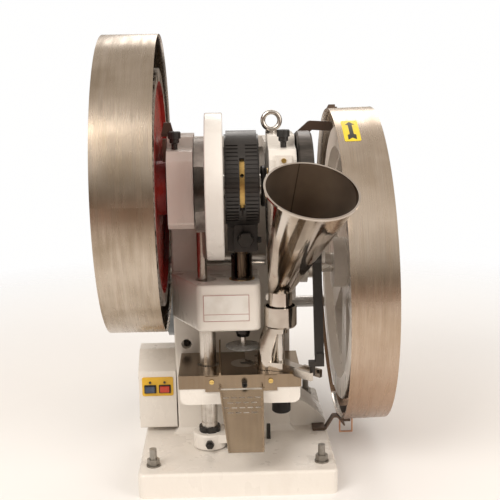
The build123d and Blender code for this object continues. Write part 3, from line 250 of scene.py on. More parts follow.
def smooth(piece, angle=35):
    """Smooth shading with the sharp edges kept."""
    bpy.ops.object.select_all(action="DESELECT")
    piece.select_set(True)
    bpy.context.view_layer.objects.active = piece
    bpy.ops.object.shade_smooth_by_angle(angle=math.radians(angle))


def fit(piece, material, body="frame"):
    """Puts a finished piece on the press: its finish and the body it moves with."""
    piece.data.materials.clear()
    piece.data.materials.append(material)
    smooth(piece)
    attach(piece, body)


column_low, column_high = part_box("column")
base_top = 0.042
skirt_reach = 0.0085
skirt = block(
    "column_skirt",
    (column_low[0] + 0.003 - skirt_reach, column_low[1] - skirt_reach, base_top - 0.001),
    (0.098 + skirt_reach, column_high[1] + skirt_reach, base_top + skirt_reach),
)
choose(skirt, edges=lambda a, b: min(a.z, b.z) > base_top + 0.001)
work("bevel", offset=skirt_reach, segments=6, profile=0.18)
choose(skirt, edges=lambda a, b: abs(a.z - b.z) > 0.001 and abs(a.x - b.x) < 1e-5 and abs(a.y - b.y) < 1e-5)
work("bevel", offset=0.004, segments=3)
fit(skirt, white_enamel)

# ---- Foundation studs with nuts and washers
# M12 studs from the bench come up through the base, each with a weathered nut on a plain washer.
metal_skin, given = new_group(
    "Worked metal",
    (("Bright", "Color", (0.6, 0.6, 0.6, 1)), ("Dull", "Color", (0.2, 0.2, 0.2, 1)), ("Grain", "Float", 400.0)),
    (("Tone", "Color"), ("Gloss", "Float"), ("Height", "Float")),
)
point = place(metal_skin, "TexCoord").outputs["Object"]
cloud = place(metal_skin, "TexNoise", Vector=point, Scale=16.0, Detail=4.0).outputs["Fac"]
tooling = place(metal_skin, "TexNoise", Vector=point, Scale=given["Grain"], Detail=2.0).outputs["Fac"]
both = plus(metal_skin, times(metal_skin, cloud, 0.75), times(metal_skin, tooling, 0.25))
tone = mix(metal_skin, spread(metal_skin, both, 0, 0.7, 0.42, 0.72), given["Bright"], given["Dull"])
close_group(metal_skin, Tone=tone, Gloss=cloud, Height=tooling)


def metal(name, bright, dull, smoothest, roughest, grain=400.0, depth=0.00012, metallic=1.0, coat=0.0):
    """A metal with patches of tone and of polish."""
    material, tree, shader = finish(name, bright, metallic=metallic, coat=coat)
    skin = use(tree, metal_skin, Bright=bright, Dull=dull, Grain=grain)
    feed(tree, shader["Base Color"], skin["Tone"])
    feed(tree, shader["Roughness"], spread(tree, skin["Gloss"], smoothest, roughest, 0.3, 0.7))
    relief(tree, shader, skin["Height"], depth)
    return material


black_steel = metal("Blackened steel", (0.055, 0.050, 0.045), (0.018, 0.016, 0.015), 0.28, 0.55, metallic=0.7)
weathered_zinc = metal("Weathered zinc plate", (0.36, 0.335, 0.30), (0.13, 0.115, 0.10), 0.3, 0.55)
wear(weathered_zinc, "anchor_bolts")
wear(black_steel, "clamp_bolt", "die_screw", "shaft_collars", "arm_nuts", "adjusting_gear")

# ---- Lever, feed cam and rams' black parts
# Machined from bar and blackened in hot oil; the cam's rim is rubbed bright by its roller.
wear(black_steel, "swing_lever")
worn_black, tree, shader = finish("Blackened steel, rubbed bright on the rim", (0.05, 0.05, 0.05), metallic=0.85)
main_y, main_z = -0.085, 0.499


def radius_about(tree, y, z):
    """Distance of the point from an axis along X."""
    there = along(tree)
    away_y = figure(tree, "SUBTRACT", there["Y"], y)
    away_z = figure(tree, "SUBTRACT", there["Z"], z)
    squares = plus(tree, times(tree, away_y, away_y), times(tree, away_z, away_z))
    return figure(tree, "SQRT", squares)


skin = use(tree, metal_skin, Bright=(0.060, 0.055, 0.050), Dull=(0.022, 0.020, 0.019), Grain=260.0)
rim = spread(tree, radius_about(tree, main_y, main_z), 0, 0.55, 0.0850, 0.0885)
rubbed = times(tree, rim, spread(tree, noise(tree, 60.0, 5.0, (6, 1, 1)), 0.2, 1, 0.4, 0.6))
feed(tree, shader["Base Color"], mix(tree, rubbed, skin["Tone"], (0.24, 0.21, 0.19)))
feed(tree, shader["Roughness"], spread(tree, skin["Gloss"], 0.25, 0.5, 0.3, 0.7))
relief(tree, shader, skin["Height"], 0.0001)
wear(worn_black, "feed_cam")

# ---- Shafts, rods, punches and die: ground steel bar
# Centreless-ground bright steel, faintly browned where oil has stood on it.
ground_steel = metal("Ground steel", (0.62, 0.585, 0.54), (0.40, 0.36, 0.32), 0.14, 0.34, grain=700.0, depth=0.00004)
post_steel, tree, shader = finish("Ground post with a black nut", (0.6, 0.57, 0.53), metallic=1.0)
skin = use(tree, metal_skin, Bright=(0.62, 0.585, 0.54), Dull=(0.40, 0.36, 0.32), Grain=500.0)
nut = figure(tree, "LESS_THAN", along(tree)["Z"], 0.1409)
feed(tree, shader["Base Color"], mix(tree, nut, skin["Tone"], (0.028, 0.026, 0.025)))
polish = spread(tree, skin["Gloss"], 0.14, 0.3, 0.3, 0.7)
feed(tree, shader["Roughness"], plus(tree, polish, times(tree, nut, 0.15)))
relief(tree, shader, skin["Height"], 0.00005)
wear(post_steel, "boot_post")
wear(ground_steel, "main_shaft", "drive_shaft", "lower_ram", "upper_punch", "lower_punch", "eccentric")
wear(ground_steel, "die", "pull_rod", "eye_bolt")

# ---- Lift rod: ground bar with drawn marks along its length
# The thick rod slides in two bushes, so its wear runs straight up and down.
rod_steel, tree, shader = finish("Rod steel, marked lengthwise", (0.6, 0.57, 0.53), metallic=1.0)
marks = noise(tree, 900.0, 2.0, (1, 1, 80))
browned = spread(tree, noise(tree, 30.0, 5.0), 0, 1, 0.4, 0.7)
feed(tree, shader["Base Color"], mix(tree, browned, (0.66, 0.62, 0.57), (0.36, 0.31, 0.26)))
feed(tree, shader["Roughness"], spread(tree, marks, 0.16, 0.42, 0.35, 0.65))
relief(tree, shader, marks, 0.00004)
wear(rod_steel, "lift_rod")

# ---- Bushes and brass screws
# Turned bronze, brown with oil; the screws are bright brass.
bronze = metal("Oiled bronze", (0.62, 0.42, 0.15), (0.34, 0.20, 0.06), 0.22, 0.42)
wear(bronze, "strap_bush", "shaft_bushes", "guide_bushes")
wear(metal("Bright brass", (0.78, 0.56, 0.20), (0.55, 0.36, 0.10), 0.16, 0.35), "brass_screws")

# ---- Bull gear and pinion
# Cut teeth left bare and greased; the gear's web and hub are painted red between machined rings.
gear_finish, tree, shader = finish("Greased gear with painted web", (0.3, 0.3, 0.3))
reach = radius_about(tree, main_y, main_z)
painted = times(tree, figure(tree, "LESS_THAN", reach, 0.1745), figure(tree, "GREATER_THAN", reach, 0.0225))
grease = spread(tree, noise(tree, 45.0, 6.0), 0, 1, 0.42, 0.62)
bare = mix(tree, grease, (0.60, 0.56, 0.51), (0.20, 0.17, 0.14))
red = mix(tree, spread(tree, noise(tree, 18.0, 5.0), 0, 1, 0.4, 0.75), (0.42, 0.035, 0.025), (0.20, 0.02, 0.015))
feed(tree, shader["Base Color"], mix(tree, painted, bare, red))
feed(tree, shader["Metallic"], figure(tree, "SUBTRACT", 1.0, painted))
feed(tree, shader["Roughness"], spread(tree, grease, 0.42, 0.22))
relief(tree, shader, noise(tree, 260.0), 0.0002)
wear(gear_finish, "bull_gear", "pinion")

# ---- Ejection cam
# A white-enamelled disc with its track cut in the left face.
cam_enamel = enamel("Cam enamel", (0.84, 0.81, 0.765), (0.42, 0.36, 0.30), depth=0.0003)
wear(cam_enamel, "ejection_cam")

# ---- Eccentric strap
# Black-enamelled iron ring; the cast ribs across its front are rubbed to a dull shine.
strap_black, tree, shader = finish("Black strap enamel", (0.02, 0.02, 0.02), metallic=0.35, coat=0.15)
skin = use(tree, metal_skin, Bright=(0.040, 0.035, 0.032), Dull=(0.012, 0.011, 0.010), Grain=180.0)
feed(tree, shader["Base Color"], skin["Tone"])
feed(tree, shader["Roughness"], spread(tree, skin["Gloss"], 0.24, 0.5, 0.3, 0.7))
relief(tree, shader, skin["Height"], 0.0003)
wear(strap_black, "eccentric_strap")

# ---- Ram
# The sleeve is black, its adjusting screw brown with old oil, and the sliding part bright.
ram_finish, tree, shader = finish("Ram, black above and ground below", (0.3, 0.3, 0.3), metallic=1.0)
height = along(tree)["Z"]
axis_x = figure(tree, "SUBTRACT", along(tree)["X"], 0.014)
axis_y = figure(tree, "SUBTRACT", along(tree)["Y"], main_y)
core = figure(tree, "SQRT", plus(tree, times(tree, axis_x, axis_x), times(tree, axis_y, axis_y)))
skin = use(tree, metal_skin, Bright=(0.60, 0.56, 0.51), Dull=(0.36, 0.32, 0.28), Grain=600.0)
black_above = figure(tree, "GREATER_THAN", height, 0.3425)
blackened = mix(tree, black_above, skin["Tone"], (0.070, 0.058, 0.048))
streaked = spread(tree, noise(tree, 220.0, 4.0, (1, 1, 30)), 0, 1, 0.38, 0.62)
screw_brown = mix(tree, streaked, (0.30, 0.235, 0.17), (0.07, 0.052, 0.038))
inner = times(tree, figure(tree, "LESS_THAN", core, 0.0130), black_above)
holder = figure(tree, "LESS_THAN", height, 0.2548)
coloured = mix(tree, inner, blackened, screw_brown)
feed(tree, shader["Base Color"], mix(tree, holder, coloured, (0.045, 0.04, 0.038)))
feed(tree, shader["Roughness"], spread(tree, skin["Gloss"], 0.18, 0.42, 0.3, 0.7))
relief(tree, shader, skin["Height"], 0.00005)
wear(ram_finish, "ram")

# ---- Lift yoke
# Torch-cut plate, planed at the top, oily round the shaft and left rough at the foot.
yoke_finish, tree, shader = finish("Yoke plate", (0.4, 0.4, 0.4), metallic=0.85)
height = plus(tree, along(tree)["Z"], times(tree, noise(tree, 30.0, 4.0), 0.012))
oily = times(tree, figure(tree, "LESS_THAN", height, 0.546), figure(tree, "GREATER_THAN", height, 0.476))
planed = mix(tree, spread(tree, noise(tree, 60.0, 5.0), 0, 1, 0.4, 0.7), (0.46, 0.43, 0.40), (0.26, 0.24, 0.22))
oil = mix(tree, spread(tree, noise(tree, 25.0, 6.0), 0, 1, 0.4, 0.65), (0.12, 0.10, 0.085), (0.035, 0.03, 0.027))
feed(tree, shader["Base Color"], mix(tree, oily, planed, oil))
feed(tree, shader["Roughness"], spread(tree, oily, 0.52, 0.24))
relief(tree, shader, noise(tree, 160.0, 5.0), 0.0005)
wear(yoke_finish, "lift_yoke")

# ---- Dust disc
# A washer of smoky clear plastic pushed on the punch to keep oil off the tablets.
disc_finish, tree, shader = finish("Smoky clear plastic", (0.50, 0.50, 0.48), roughness=0.28)
shader["Alpha"].default_value = 0.72
scuffs = noise(tree, 130.0, 5.0)
scuffed = spread(tree, scuffs, 0, 1, 0.45, 0.7)
feed(tree, shader["Base Color"], mix(tree, scuffed, (0.24, 0.235, 0.225), (0.40, 0.39, 0.37)))
feed(tree, shader["Roughness"], spread(tree, scuffs, 0.2, 0.5, 0.3, 0.7))
wear(disc_finish, "dust_disc")

# ---- Flywheel
# Cast iron, enamelled cream; the rim's face and the edges of the belt groove are turned bare.
wheel_finish, tree, shader = finish("Flywheel enamel with turned rim", (0.8, 0.75, 0.68))
drive_y, drive_z = 0.0616, 0.3343
reach = radius_about(tree, drive_y, drive_z)
turned_rim = figure(tree, "GREATER_THAN", reach, 0.2485)
skin = use(tree, enamel_skin, Clean=(0.80, 0.735, 0.665), Soiled=(0.42, 0.33, 0.26))
bare = mix(tree, noise(tree, 50.0, 5.0), (0.48, 0.45, 0.42), (0.30, 0.27, 0.25))
feed(tree, shader["Base Color"], mix(tree, turned_rim, skin["Tone"], bare))
feed(tree, shader["Metallic"], turned_rim)
feed(tree, shader["Roughness"], skin["Gloss"])
relief(tree, shader, skin["Height"], 0.0004)
wear(wheel_finish, "flywheel")

# ---- Motor, its bracket and pulley
# Die-cast motor in grey enamel on a welded steel bracket; the pulley is turned cast iron.
grey_enamel = enamel("Grey motor enamel", (0.20, 0.215, 0.225), (0.10, 0.09, 0.08))
wear(grey_enamel, "motor", "motor_bracket")
wear(metal("Turned iron", (0.42, 0.40, 0.38), (0.22, 0.20, 0.18), 0.25, 0.5), "motor_pulley")

# ---- V-belt
# Fabric-wrapped rubber, dusty on its flanks.
rubber, tree, shader = finish("Wrapped belt rubber", (0.03, 0.03, 0.03), roughness=0.75)
weave = noise(tree, 420.0, 2.0)
dusty = spread(tree, noise(tree, 20.0, 5.0), 0, 1, 0.45, 0.75)
feed(tree, shader["Base Color"], mix(tree, dusty, (0.022, 0.022, 0.022), (0.075, 0.07, 0.062)))
feed(tree, shader["Roughness"], spread(tree, weave, 0.6, 0.85, 0.3, 0.7))
relief(tree, shader, weave, 0.0003)
wear(rubber, "belt")

# ---- Gear guard and wheel guard
# Rolled from brushed stainless sheet, the brushing running round the bands and straight down
# the plates; the sheet is a little browned, and its soft light and dark banding is painted reflection.
sheet_skin, given = new_group(
    "Brushed sheet",
    (
        ("Bright", "Color", (0.7, 0.66, 0.6, 1)),
        ("Brown", "Color", (0.4, 0.33, 0.25, 1)),
        ("Across", "Float", 0.0),
        ("Along", "Float", 0.0),
    ),
    (("Tone", "Color"), ("Gloss", "Float"), ("Height", "Float")),
)


def streaks(tree, scale, stretch, detail):
    """Noise drawn out along the brushing."""
    drawn = figure(tree, "DIVIDE", given["Along"], stretch)
    point = place(tree, "CombineXYZ", X=given["Across"], Y=drawn).outputs[0]
    return place(tree, "TexNoise", Vector=point, Scale=scale, Detail=detail).outputs["Fac"]


hairs = streaks(sheet_skin, 900.0, 60.0, 2.0)
runs = streaks(sheet_skin, 130.0, 14.0, 4.0)
# painted reflection: broad light and dark banding round the sheet stands in for the room reflected in it
painted_reflection_bands = streaks(sheet_skin, 9.0, 0.8, 3.0)
both = plus(sheet_skin, times(sheet_skin, runs, 0.35), times(sheet_skin, painted_reflection_bands, 0.65))
# browned blends the brushing runs with the painted reflection banding, so it is partly brown sheet and partly painted
# reflection
browned = spread(sheet_skin, both, 0, 1, 0.4, 0.62)
tone = mix(sheet_skin, browned, given["Bright"], given["Brown"])
tone = mix(sheet_skin, spread(sheet_skin, hairs, 0, 0.25, 0.35, 0.7), tone, (0.30, 0.26, 0.22))
close_group(sheet_skin, Tone=tone, Gloss=runs, Height=hairs)


def rolled_sheet(name, y, z, bright, brown, low=None):
    """Brushed sheet rolled about an axis along X, with flat plates; low, if given, is a painted reflection of the
    floor, blended in towards the bottom.
    """
    material, tree, shader = finish(name, bright, metallic=1.0)
    there = along(tree)
    away_y = figure(tree, "SUBTRACT", there["Y"], y)
    away_z = figure(tree, "SUBTRACT", there["Z"], z)
    round_it = times(tree, figure(tree, "ARCTAN2", away_z, away_y), 0.25)
    facing = place(tree, "SeparateXYZ", Vector=place(tree, "NewGeometry").outputs["Normal"]).outputs["X"]
    flat = figure(tree, "GREATER_THAN", figure(tree, "ABSOLUTE", facing), 0.9)
    curved = figure(tree, "SUBTRACT", 1.0, flat)
    across = figure(
        tree, "ADD", times(tree, there["X"], curved), times(tree, there["Y"], flat)
    )
    on = plus(tree, times(tree, round_it, curved), times(tree, there["Z"], flat))
    skin = use(tree, sheet_skin, Bright=bright, Brown=brown, Across=across, Along=on)
    tone = skin["Tone"]
    if low:
        # painted reflection: towards the bottom the sheet is blended into the low tone, which stands in for the floor
        # reflected in it
        tone = mix(tree, spread(tree, there["Z"], 0.85, 0, 0.12, 0.36), tone, low)
    feed(tree, shader["Base Color"], tone)
    feed(tree, shader["Roughness"], spread(tree, skin["Gloss"], 0.20, 0.32, 0.3, 0.7))
    relief(tree, shader, skin["Height"], 0.00004)
    return material


gear_guard_steel = rolled_sheet("Gear guard sheet", -0.055, 0.501, (0.55, 0.47, 0.385), (0.36, 0.29, 0.215))
# the third wheel guard tone is a painted reflection of the floor on the band's lower part
wheel_tones_and_floor_reflection = ((0.68, 0.585, 0.485), (0.50, 0.405, 0.31), (0.36, 0.215, 0.13))
wheel_guard_steel = rolled_sheet("Wheel guard sheet", 0.0616, 0.332, *wheel_tones_and_floor_reflection)
wear(gear_guard_steel, "gear_guard")
wear(wheel_guard_steel, "wheel_guard")

# ---- Table tray, chute and fence
# Folded stainless sheet, brushed along its length and dulled by powder and scraping.
tray_steel, tree, shader = finish("Tray sheet", (0.5, 0.45, 0.4), metallic=1.0)
there = along(tree)
downhill = plus(tree, there["Y"], there["Z"])
tones = {"Bright": (0.33, 0.25, 0.17), "Brown": (0.265, 0.195, 0.13)}
# the tray, chute and fence take the same painted reflection banding from the sheet group
skin = use(tree, sheet_skin, **tones, Across=there["X"], Along=downhill)
stained = spread(tree, noise(tree, 14.0, 4.0), 0, 0.3, 0.5, 0.75)
on_top = figure(tree, "GREATER_THAN", there["Z"], 0.1915)
stained = times(tree, stained, on_top)
feed(tree, shader["Base Color"], mix(tree, stained, skin["Tone"], (0.10, 0.082, 0.065)))
feed(tree, shader["Roughness"], spread(tree, noise(tree, 12.0, 2.0), 0.22, 0.28, 0.35, 0.7))
relief(tree, shader, skin["Height"], 0.00002)
wear(tray_steel, "table_tray", "chute", "guide_fence")

# ---- Hopper
# Spun from bright stainless and mirror-polished outside; the inside is left as drawn, rougher, and
# coloured a darker brown as painted shade, with the sheet's welded seam running down it from the rim.
MOUTH = (0.116, -0.276, 0.5155)
NECK_LINE = (-0.1598, 0.6270, -0.7625)


def vector(tree, operation, first, second):
    """One step of vector arithmetic."""
    made = tree.nodes.new("ShaderNodeVectorMath")
    made.operation = operation
    feed(tree, made.inputs[0], first)
    feed(tree, made.inputs[1], second)
    return made.outputs["Value" if operation == "DOT_PRODUCT" else "Vector"]


hopper_steel, tree, shader = finish("Polished hopper steel", (0.7, 0.64, 0.57), metallic=1.0)
point = place(tree, "TexCoord").outputs["Object"]
from_mouth = vector(tree, "SUBTRACT", point, MOUTH)
down = vector(tree, "DOT_PRODUCT", from_mouth, NECK_LINE)
on_line = tree.nodes.new("ShaderNodeVectorMath")
on_line.operation = "SCALE"
on_line.inputs[0].default_value = NECK_LINE
tree.links.new(down, on_line.inputs["Scale"])
outward = vector(tree, "SUBTRACT", from_mouth, on_line.outputs["Vector"])
facing = vector(tree, "DOT_PRODUCT", place(tree, "NewGeometry").outputs["Normal"], outward)
inside = times(tree, figure(tree, "LESS_THAN", facing, 0.0), figure(tree, "GREATER_THAN", down, 0.003))
SEAM_SIDE = (0.973, 0.2308, -0.0141)
SEAM_WAY = (-0.1671, 0.7441, 0.6469)
off_seam = figure(tree, "ABSOLUTE", vector(tree, "DOT_PRODUCT", outward, SEAM_SIDE))
this_side = figure(tree, "GREATER_THAN", vector(tree, "DOT_PRODUCT", outward, SEAM_WAY), 0.0)
seam = times(tree, figure(tree, "LESS_THAN", off_seam, 0.0011), inside)
seam = times(tree, seam, this_side)
cloud = noise(tree, 16.0, 5.0)
polished = mix(tree, spread(tree, cloud, 0, 1, 0.4, 0.7), (0.70, 0.64, 0.58), (0.50, 0.43, 0.37))
# painted shade: the inside of the hopper is coloured a darker brown than the outside
dull = mix(tree, spread(tree, cloud, 0, 1, 0.35, 0.65), (0.44, 0.375, 0.31), (0.34, 0.285, 0.24))
dull = mix(tree, times(tree, seam, 0.55), dull, (0.02, 0.016, 0.014))
feed(tree, shader["Base Color"], mix(tree, inside, polished, dull))
polish = spread(tree, noise(tree, 40.0, 4.0), 0.06, 0.14)
feed(tree, shader["Roughness"], plus(tree, polish, times(tree, inside, 0.3)))
relief(tree, shader, noise(tree, 12.0, 2.0), 0.0012, 0.25)
wear(hopper_steel, "hopper")

# ---- Feed boot
# Investment-cast stainless with a polished cup, patchy brown in places.
boot_steel, tree, shader = finish("Cast boot steel", (0.6, 0.54, 0.47), metallic=1.0)
skin = use(tree, metal_skin, Bright=(0.60, 0.55, 0.49), Dull=(0.40, 0.34, 0.285), Grain=90.0)
feed(tree, shader["Base Color"], skin["Tone"])
feed(tree, shader["Roughness"], spread(tree, skin["Gloss"], 0.10, 0.22, 0.3, 0.7))
relief(tree, shader, noise(tree, 30.0, 2.0), 0.0005, 0.25)
wear(boot_steel, "feed_boot")

# ---- Guard brackets, latches and bail
# Bent from flat bar and browned; the bail is copper-plated wire.
brown_steel = metal("Browned steel", (0.15, 0.105, 0.08), (0.055, 0.04, 0.032), 0.3, 0.55, metallic=0.85)
wear(brown_steel, "guard_brackets", "guard_latches")
wear(metal("Copper-plated wire", (0.72, 0.42, 0.28), (0.40, 0.22, 0.14), 0.2, 0.4), "latch_bail")

# ---- Oil cups
# Moulded black phenolic, faintly mottled.
phenolic = ((0.030, 0.029, 0.028), (0.012, 0.011, 0.011), 0.2, 0.36)
wear(metal("Black phenolic", *phenolic, grain=120.0, metallic=0.0, coat=0.2), "oil_cups")

# ---- Blank label plate
# White plastic with a thin printed border and one rule; nothing is written on it.
label_low, label_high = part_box("label_plate")
label_white, tree, shader = finish("Label plastic with a thin border", (0.8, 0.78, 0.74), roughness=0.4)
there = along(tree)
middle_x, middle_z = (label_low[0] + label_high[0]) / 2, (label_low[2] + label_high[2]) / 2
half_x, half_z = (label_high[0] - label_low[0]) / 2, (label_high[2] - label_low[2]) / 2
from_side = figure(tree, "SUBTRACT", half_x, figure(tree, "ABSOLUTE", figure(tree, "SUBTRACT", there["X"], middle_x)))
from_top = figure(tree, "SUBTRACT", half_z, figure(tree, "ABSOLUTE", figure(tree, "SUBTRACT", there["Z"], middle_z)))
nearest = figure(tree, "MINIMUM", from_side, from_top)
border = times(tree, figure(tree, "LESS_THAN", nearest, 0.0014), figure(tree, "GREATER_THAN", nearest, 0.0005))
from_rule = figure(tree, "ABSOLUTE", figure(tree, "SUBTRACT", there["Z"], label_low[2] + 0.0125))
rule = figure(tree, "LESS_THAN", from_rule, 0.0004)
rule = times(tree, rule, figure(tree, "GREATER_THAN", nearest, 0.0005))
printed = figure(tree, "MAXIMUM", border, rule)
yellowed = mix(tree, spread(tree, noise(tree, 40.0, 4.0), 0, 1, 0.4, 0.75), (0.80, 0.775, 0.73), (0.68, 0.64, 0.58))
feed(tree, shader["Base Color"], mix(tree, printed, yellowed, (0.33, 0.07, 0.05)))
feed(tree, shader["Roughness"], spread(tree, noise(tree, 60.0), 0.3, 0.5))
wear(label_white, "label_plate")

# ---- Switch panel and buttons
# Yellow laminate with moulded push buttons, navy to start and red to stop, and two dark lenses.


def moulded(name, clean, scuffed, smoothest=0.28, roughest=0.5):
    """Moulded plastic with light scuffs."""
    material, tree, shader = finish(name, clean)
    feed(tree, shader["Base Color"], mix(tree, spread(tree, noise(tree, 55.0, 6.0), 0, 1, 0.5, 0.8), clean, scuffed))
    feed(tree, shader["Roughness"], spread(tree, noise(tree, 90.0, 4.0), smoothest, roughest, 0.3, 0.7))
    relief(tree, shader, noise(tree, 500.0, 2.0), 0.0001)
    return material


panel_yellow, tree, shader = finish("Yellow laminate with dark lenses", (0.8, 0.5, 0.05))
there = along(tree)
lens = None
for lens_x in (-0.154, -0.128):
    away = figure(tree, "ABSOLUTE", figure(tree, "SUBTRACT", there["X"], lens_x))
    drop = figure(tree, "SUBTRACT", there["Z"], 0.138)
    apart = figure(tree, "SQRT", plus(tree, times(tree, away, away), times(tree, drop, drop)))
    spot = figure(tree, "LESS_THAN", apart, 0.0022)
    lens = spot if lens is None else figure(tree, "MAXIMUM", lens, spot)
faded = mix(tree, spread(tree, noise(tree, 45.0, 5.0), 0, 1, 0.4, 0.8), (0.80, 0.47, 0.025), (0.62, 0.36, 0.04))
feed(tree, shader["Base Color"], mix(tree, lens, faded, (0.03, 0.025, 0.02)))
feed(tree, shader["Roughness"], spread(tree, noise(tree, 80.0), 0.28, 0.45))
relief(tree, shader, noise(tree, 420.0, 2.0), 0.0001)
wear(panel_yellow, "switch_panel")
wear(moulded("Navy plastic", (0.045, 0.065, 0.12), (0.10, 0.11, 0.14)), "start_button")
wear(moulded("Red plastic", (0.56, 0.055, 0.03), (0.42, 0.10, 0.07)), "stop_button")

# ---- Direction label on the wheel guard
# Printed yellow vinyl, stuck round the band near its top edge; its arrow points the way the
# wheel is turned by hand. The vinyl is thin, with rounded corners.
WHEEL_AXIS = (math.cos(math.radians(1.4)), 0.0, math.sin(math.radians(1.4)))
WHEEL_START = Vector((0.182, 0.0616, 0.332))
LABEL_START, LABEL_WIDE = 0.0110, 0.0275
LABEL_TURN, LABEL_LONG = (math.radians(109.5), math.radians(123.0)), 0.067


def wheel_barrel(name, near, far, radius, sides):
    """A cylinder primitive on the leaning axis of the wheel guard, between two distances along it."""
    middle = WHEEL_START + Vector(WHEEL_AXIS) * (near + far) / 2
    lean = (0, math.pi / 2 - math.radians(1.4), 0)
    return begin("cylinder", name, vertices=sides, radius=radius, depth=far - near, location=middle, rotation=lean)


def wheel_turn(point):
    """Angle round the wheel guard's axis, from the back over the top."""
    away = Vector(point) - WHEEL_START
    return math.atan2(away.dot(Vector((-WHEEL_AXIS[2], 0, WHEEL_AXIS[0]))), away.y)


def thicken(piece, amount, offset=-1, rim=0.0):
    """Gives a sheet its thickness, and its edges a small round if asked."""
    bpy.context.view_layer.objects.active = piece
    wall = piece.modifiers.new("wall", "SOLIDIFY")
    wall.thickness = amount
    wall.offset = offset
    bpy.ops.object.modifier_apply(modifier=wall.name)
    if rim:
        edge = piece.modifiers.new("edge", "BEVEL")
        edge.width = rim
        edge.segments = 2
        edge.limit_method = "ANGLE"
        bpy.ops.object.modifier_apply(modifier=edge.name)


label = wheel_barrel("direction_label", LABEL_START, LABEL_START + LABEL_WIDE, 0.28415, 720)
choose(label, faces=lambda c, n: abs(n.x) > 0.5 or not LABEL_TURN[0] < wheel_turn(c) < LABEL_TURN[1])
work("delete", type="FACE")
thicken(label, 0.00012, 1)

vinyl, tree, shader = finish("Yellow vinyl with a black arrow", (0.85, 0.66, 0.03))
point = place(tree, "TexCoord").outputs["Object"]
away = vector(tree, "SUBTRACT", point, tuple(WHEEL_START))
across = figure(tree, "SUBTRACT", vector(tree, "DOT_PRODUCT", away, WHEEL_AXIS), LABEL_START + LABEL_WIDE / 2)
lift = vector(tree, "DOT_PRODUCT", away, (-WHEEL_AXIS[2], 0, WHEEL_AXIS[0]))
turn = figure(tree, "ARCTAN2", lift, place(tree, "SeparateXYZ", Vector=away).outputs["Y"])
up = times(tree, figure(tree, "SUBTRACT", sum(LABEL_TURN) / 2, turn), 0.284)
off = figure(tree, "ABSOLUTE", across)


def between(tree, value, low, high):
    """1 where the value lies between two limits."""
    return times(tree, figure(tree, "GREATER_THAN", value, low), figure(tree, "LESS_THAN", value, high))


shaft = times(tree, between(tree, up, -0.0200, 0.0190), figure(tree, "LESS_THAN", off, 0.0034))
narrowing = times(tree, figure(tree, "SUBTRACT", 0.0285, up), 0.72)
head = times(tree, between(tree, up, 0.0170, 0.0285), figure(tree, "LESS_THAN", off, narrowing))
fletch_low = plus(tree, -0.0290, times(tree, figure(tree, "SUBTRACT", 0.0072, off), 0.75))
fletch_high = plus(tree, -0.0150, times(tree, figure(tree, "SUBTRACT", 0.0072, off), 0.55))
tail = times(tree, figure(tree, "GREATER_THAN", up, fletch_low), figure(tree, "LESS_THAN", up, fletch_high))
tail = times(tree, tail, figure(tree, "LESS_THAN", off, 0.0072))
arrow = figure(tree, "MAXIMUM", figure(tree, "MAXIMUM", shaft, head), tail)
yellow = mix(tree, spread(tree, noise(tree, 60.0, 4.0), 0, 1, 0.4, 0.8), (0.86, 0.66, 0.025), (0.74, 0.55, 0.04))
feed(tree, shader["Base Color"], mix(tree, arrow, yellow, (0.03, 0.028, 0.022)))
feed(tree, shader["Roughness"], spread(tree, noise(tree, 80.0), 0.3, 0.45))
corner_x = figure(tree, "MAXIMUM", figure(tree, "SUBTRACT", off, LABEL_WIDE / 2 - 0.003), 0.0)
corner_up = figure(tree, "SUBTRACT", figure(tree, "ABSOLUTE", up), LABEL_LONG / 2 - 0.0035)
corner_up = figure(tree, "MAXIMUM", corner_up, 0.0)
squares = plus(tree, times(tree, corner_x, corner_x), times(tree, corner_up, corner_up))
feed(tree, shader["Alpha"], figure(tree, "LESS_THAN", squares, 0.003**2))
fit(label, vinyl)

# ---- Turned-in edges and swage of the guards
# The open edge of each band is folded back inside it to stiffen it, and shows as a double edge whose
# near-white colour is partly a painted highlight. The wheel guard's flat plate carries a pressed ring.
# painted highlight: the hems and rivets are coloured near-white, brighter than the guard sheet they sit on
hem_steel_with_painted_highlight = metal("Sheared edge steel with painted highlight", (0.80, 0.755, 0.70), (0.62, 0.56, 0.50), 0.18, 0.32)


def open_band(piece):
    """Takes the two ends off a cylinder, leaving its band."""
    choose(piece, faces=lambda c, n: abs(n.x) > 0.5)
    work("delete", type="FACE")


gear_hem = barrel("gear_guard_hem", (-0.1186, -0.055, 0.501), 0.24645, 0.009, "X", 192)
open_band(gear_hem)
thicken(gear_hem, 0.0014, -1, 0.0004)
fit(gear_hem, hem_steel_with_painted_highlight)

wheel_hem = wheel_barrel("wheel_guard_hem", 0.0002, 0.0092, 0.28245, 192)
open_band(wheel_hem)
choose(wheel_hem, faces=lambda c, n: math.radians(-76) < wheel_turn(c) < math.radians(17))
work("delete", type="FACE")
thicken(wheel_hem, 0.0014, -1, 0.0004)
fit(wheel_hem, hem_steel_with_painted_highlight)

swage = wheel_barrel("wheel_guard_swage", 0.0779, 0.0797, 0.205, 160)
choose(swage, faces=lambda c, n: abs(n.x) > 0.5)
work("inset", thickness=0.012)
choose(swage, faces=lambda c, n: abs(n.x) > 0.5 and (Vector(c) - WHEEL_START).yz.length < 0.15)
work("delete", type="FACE")
choose(swage, edges=lambda a, b: a.x > 0.2 and b.x > 0.2)
work("bevel", offset=0.0012, segments=3)
fit(swage, wheel_guard_steel)

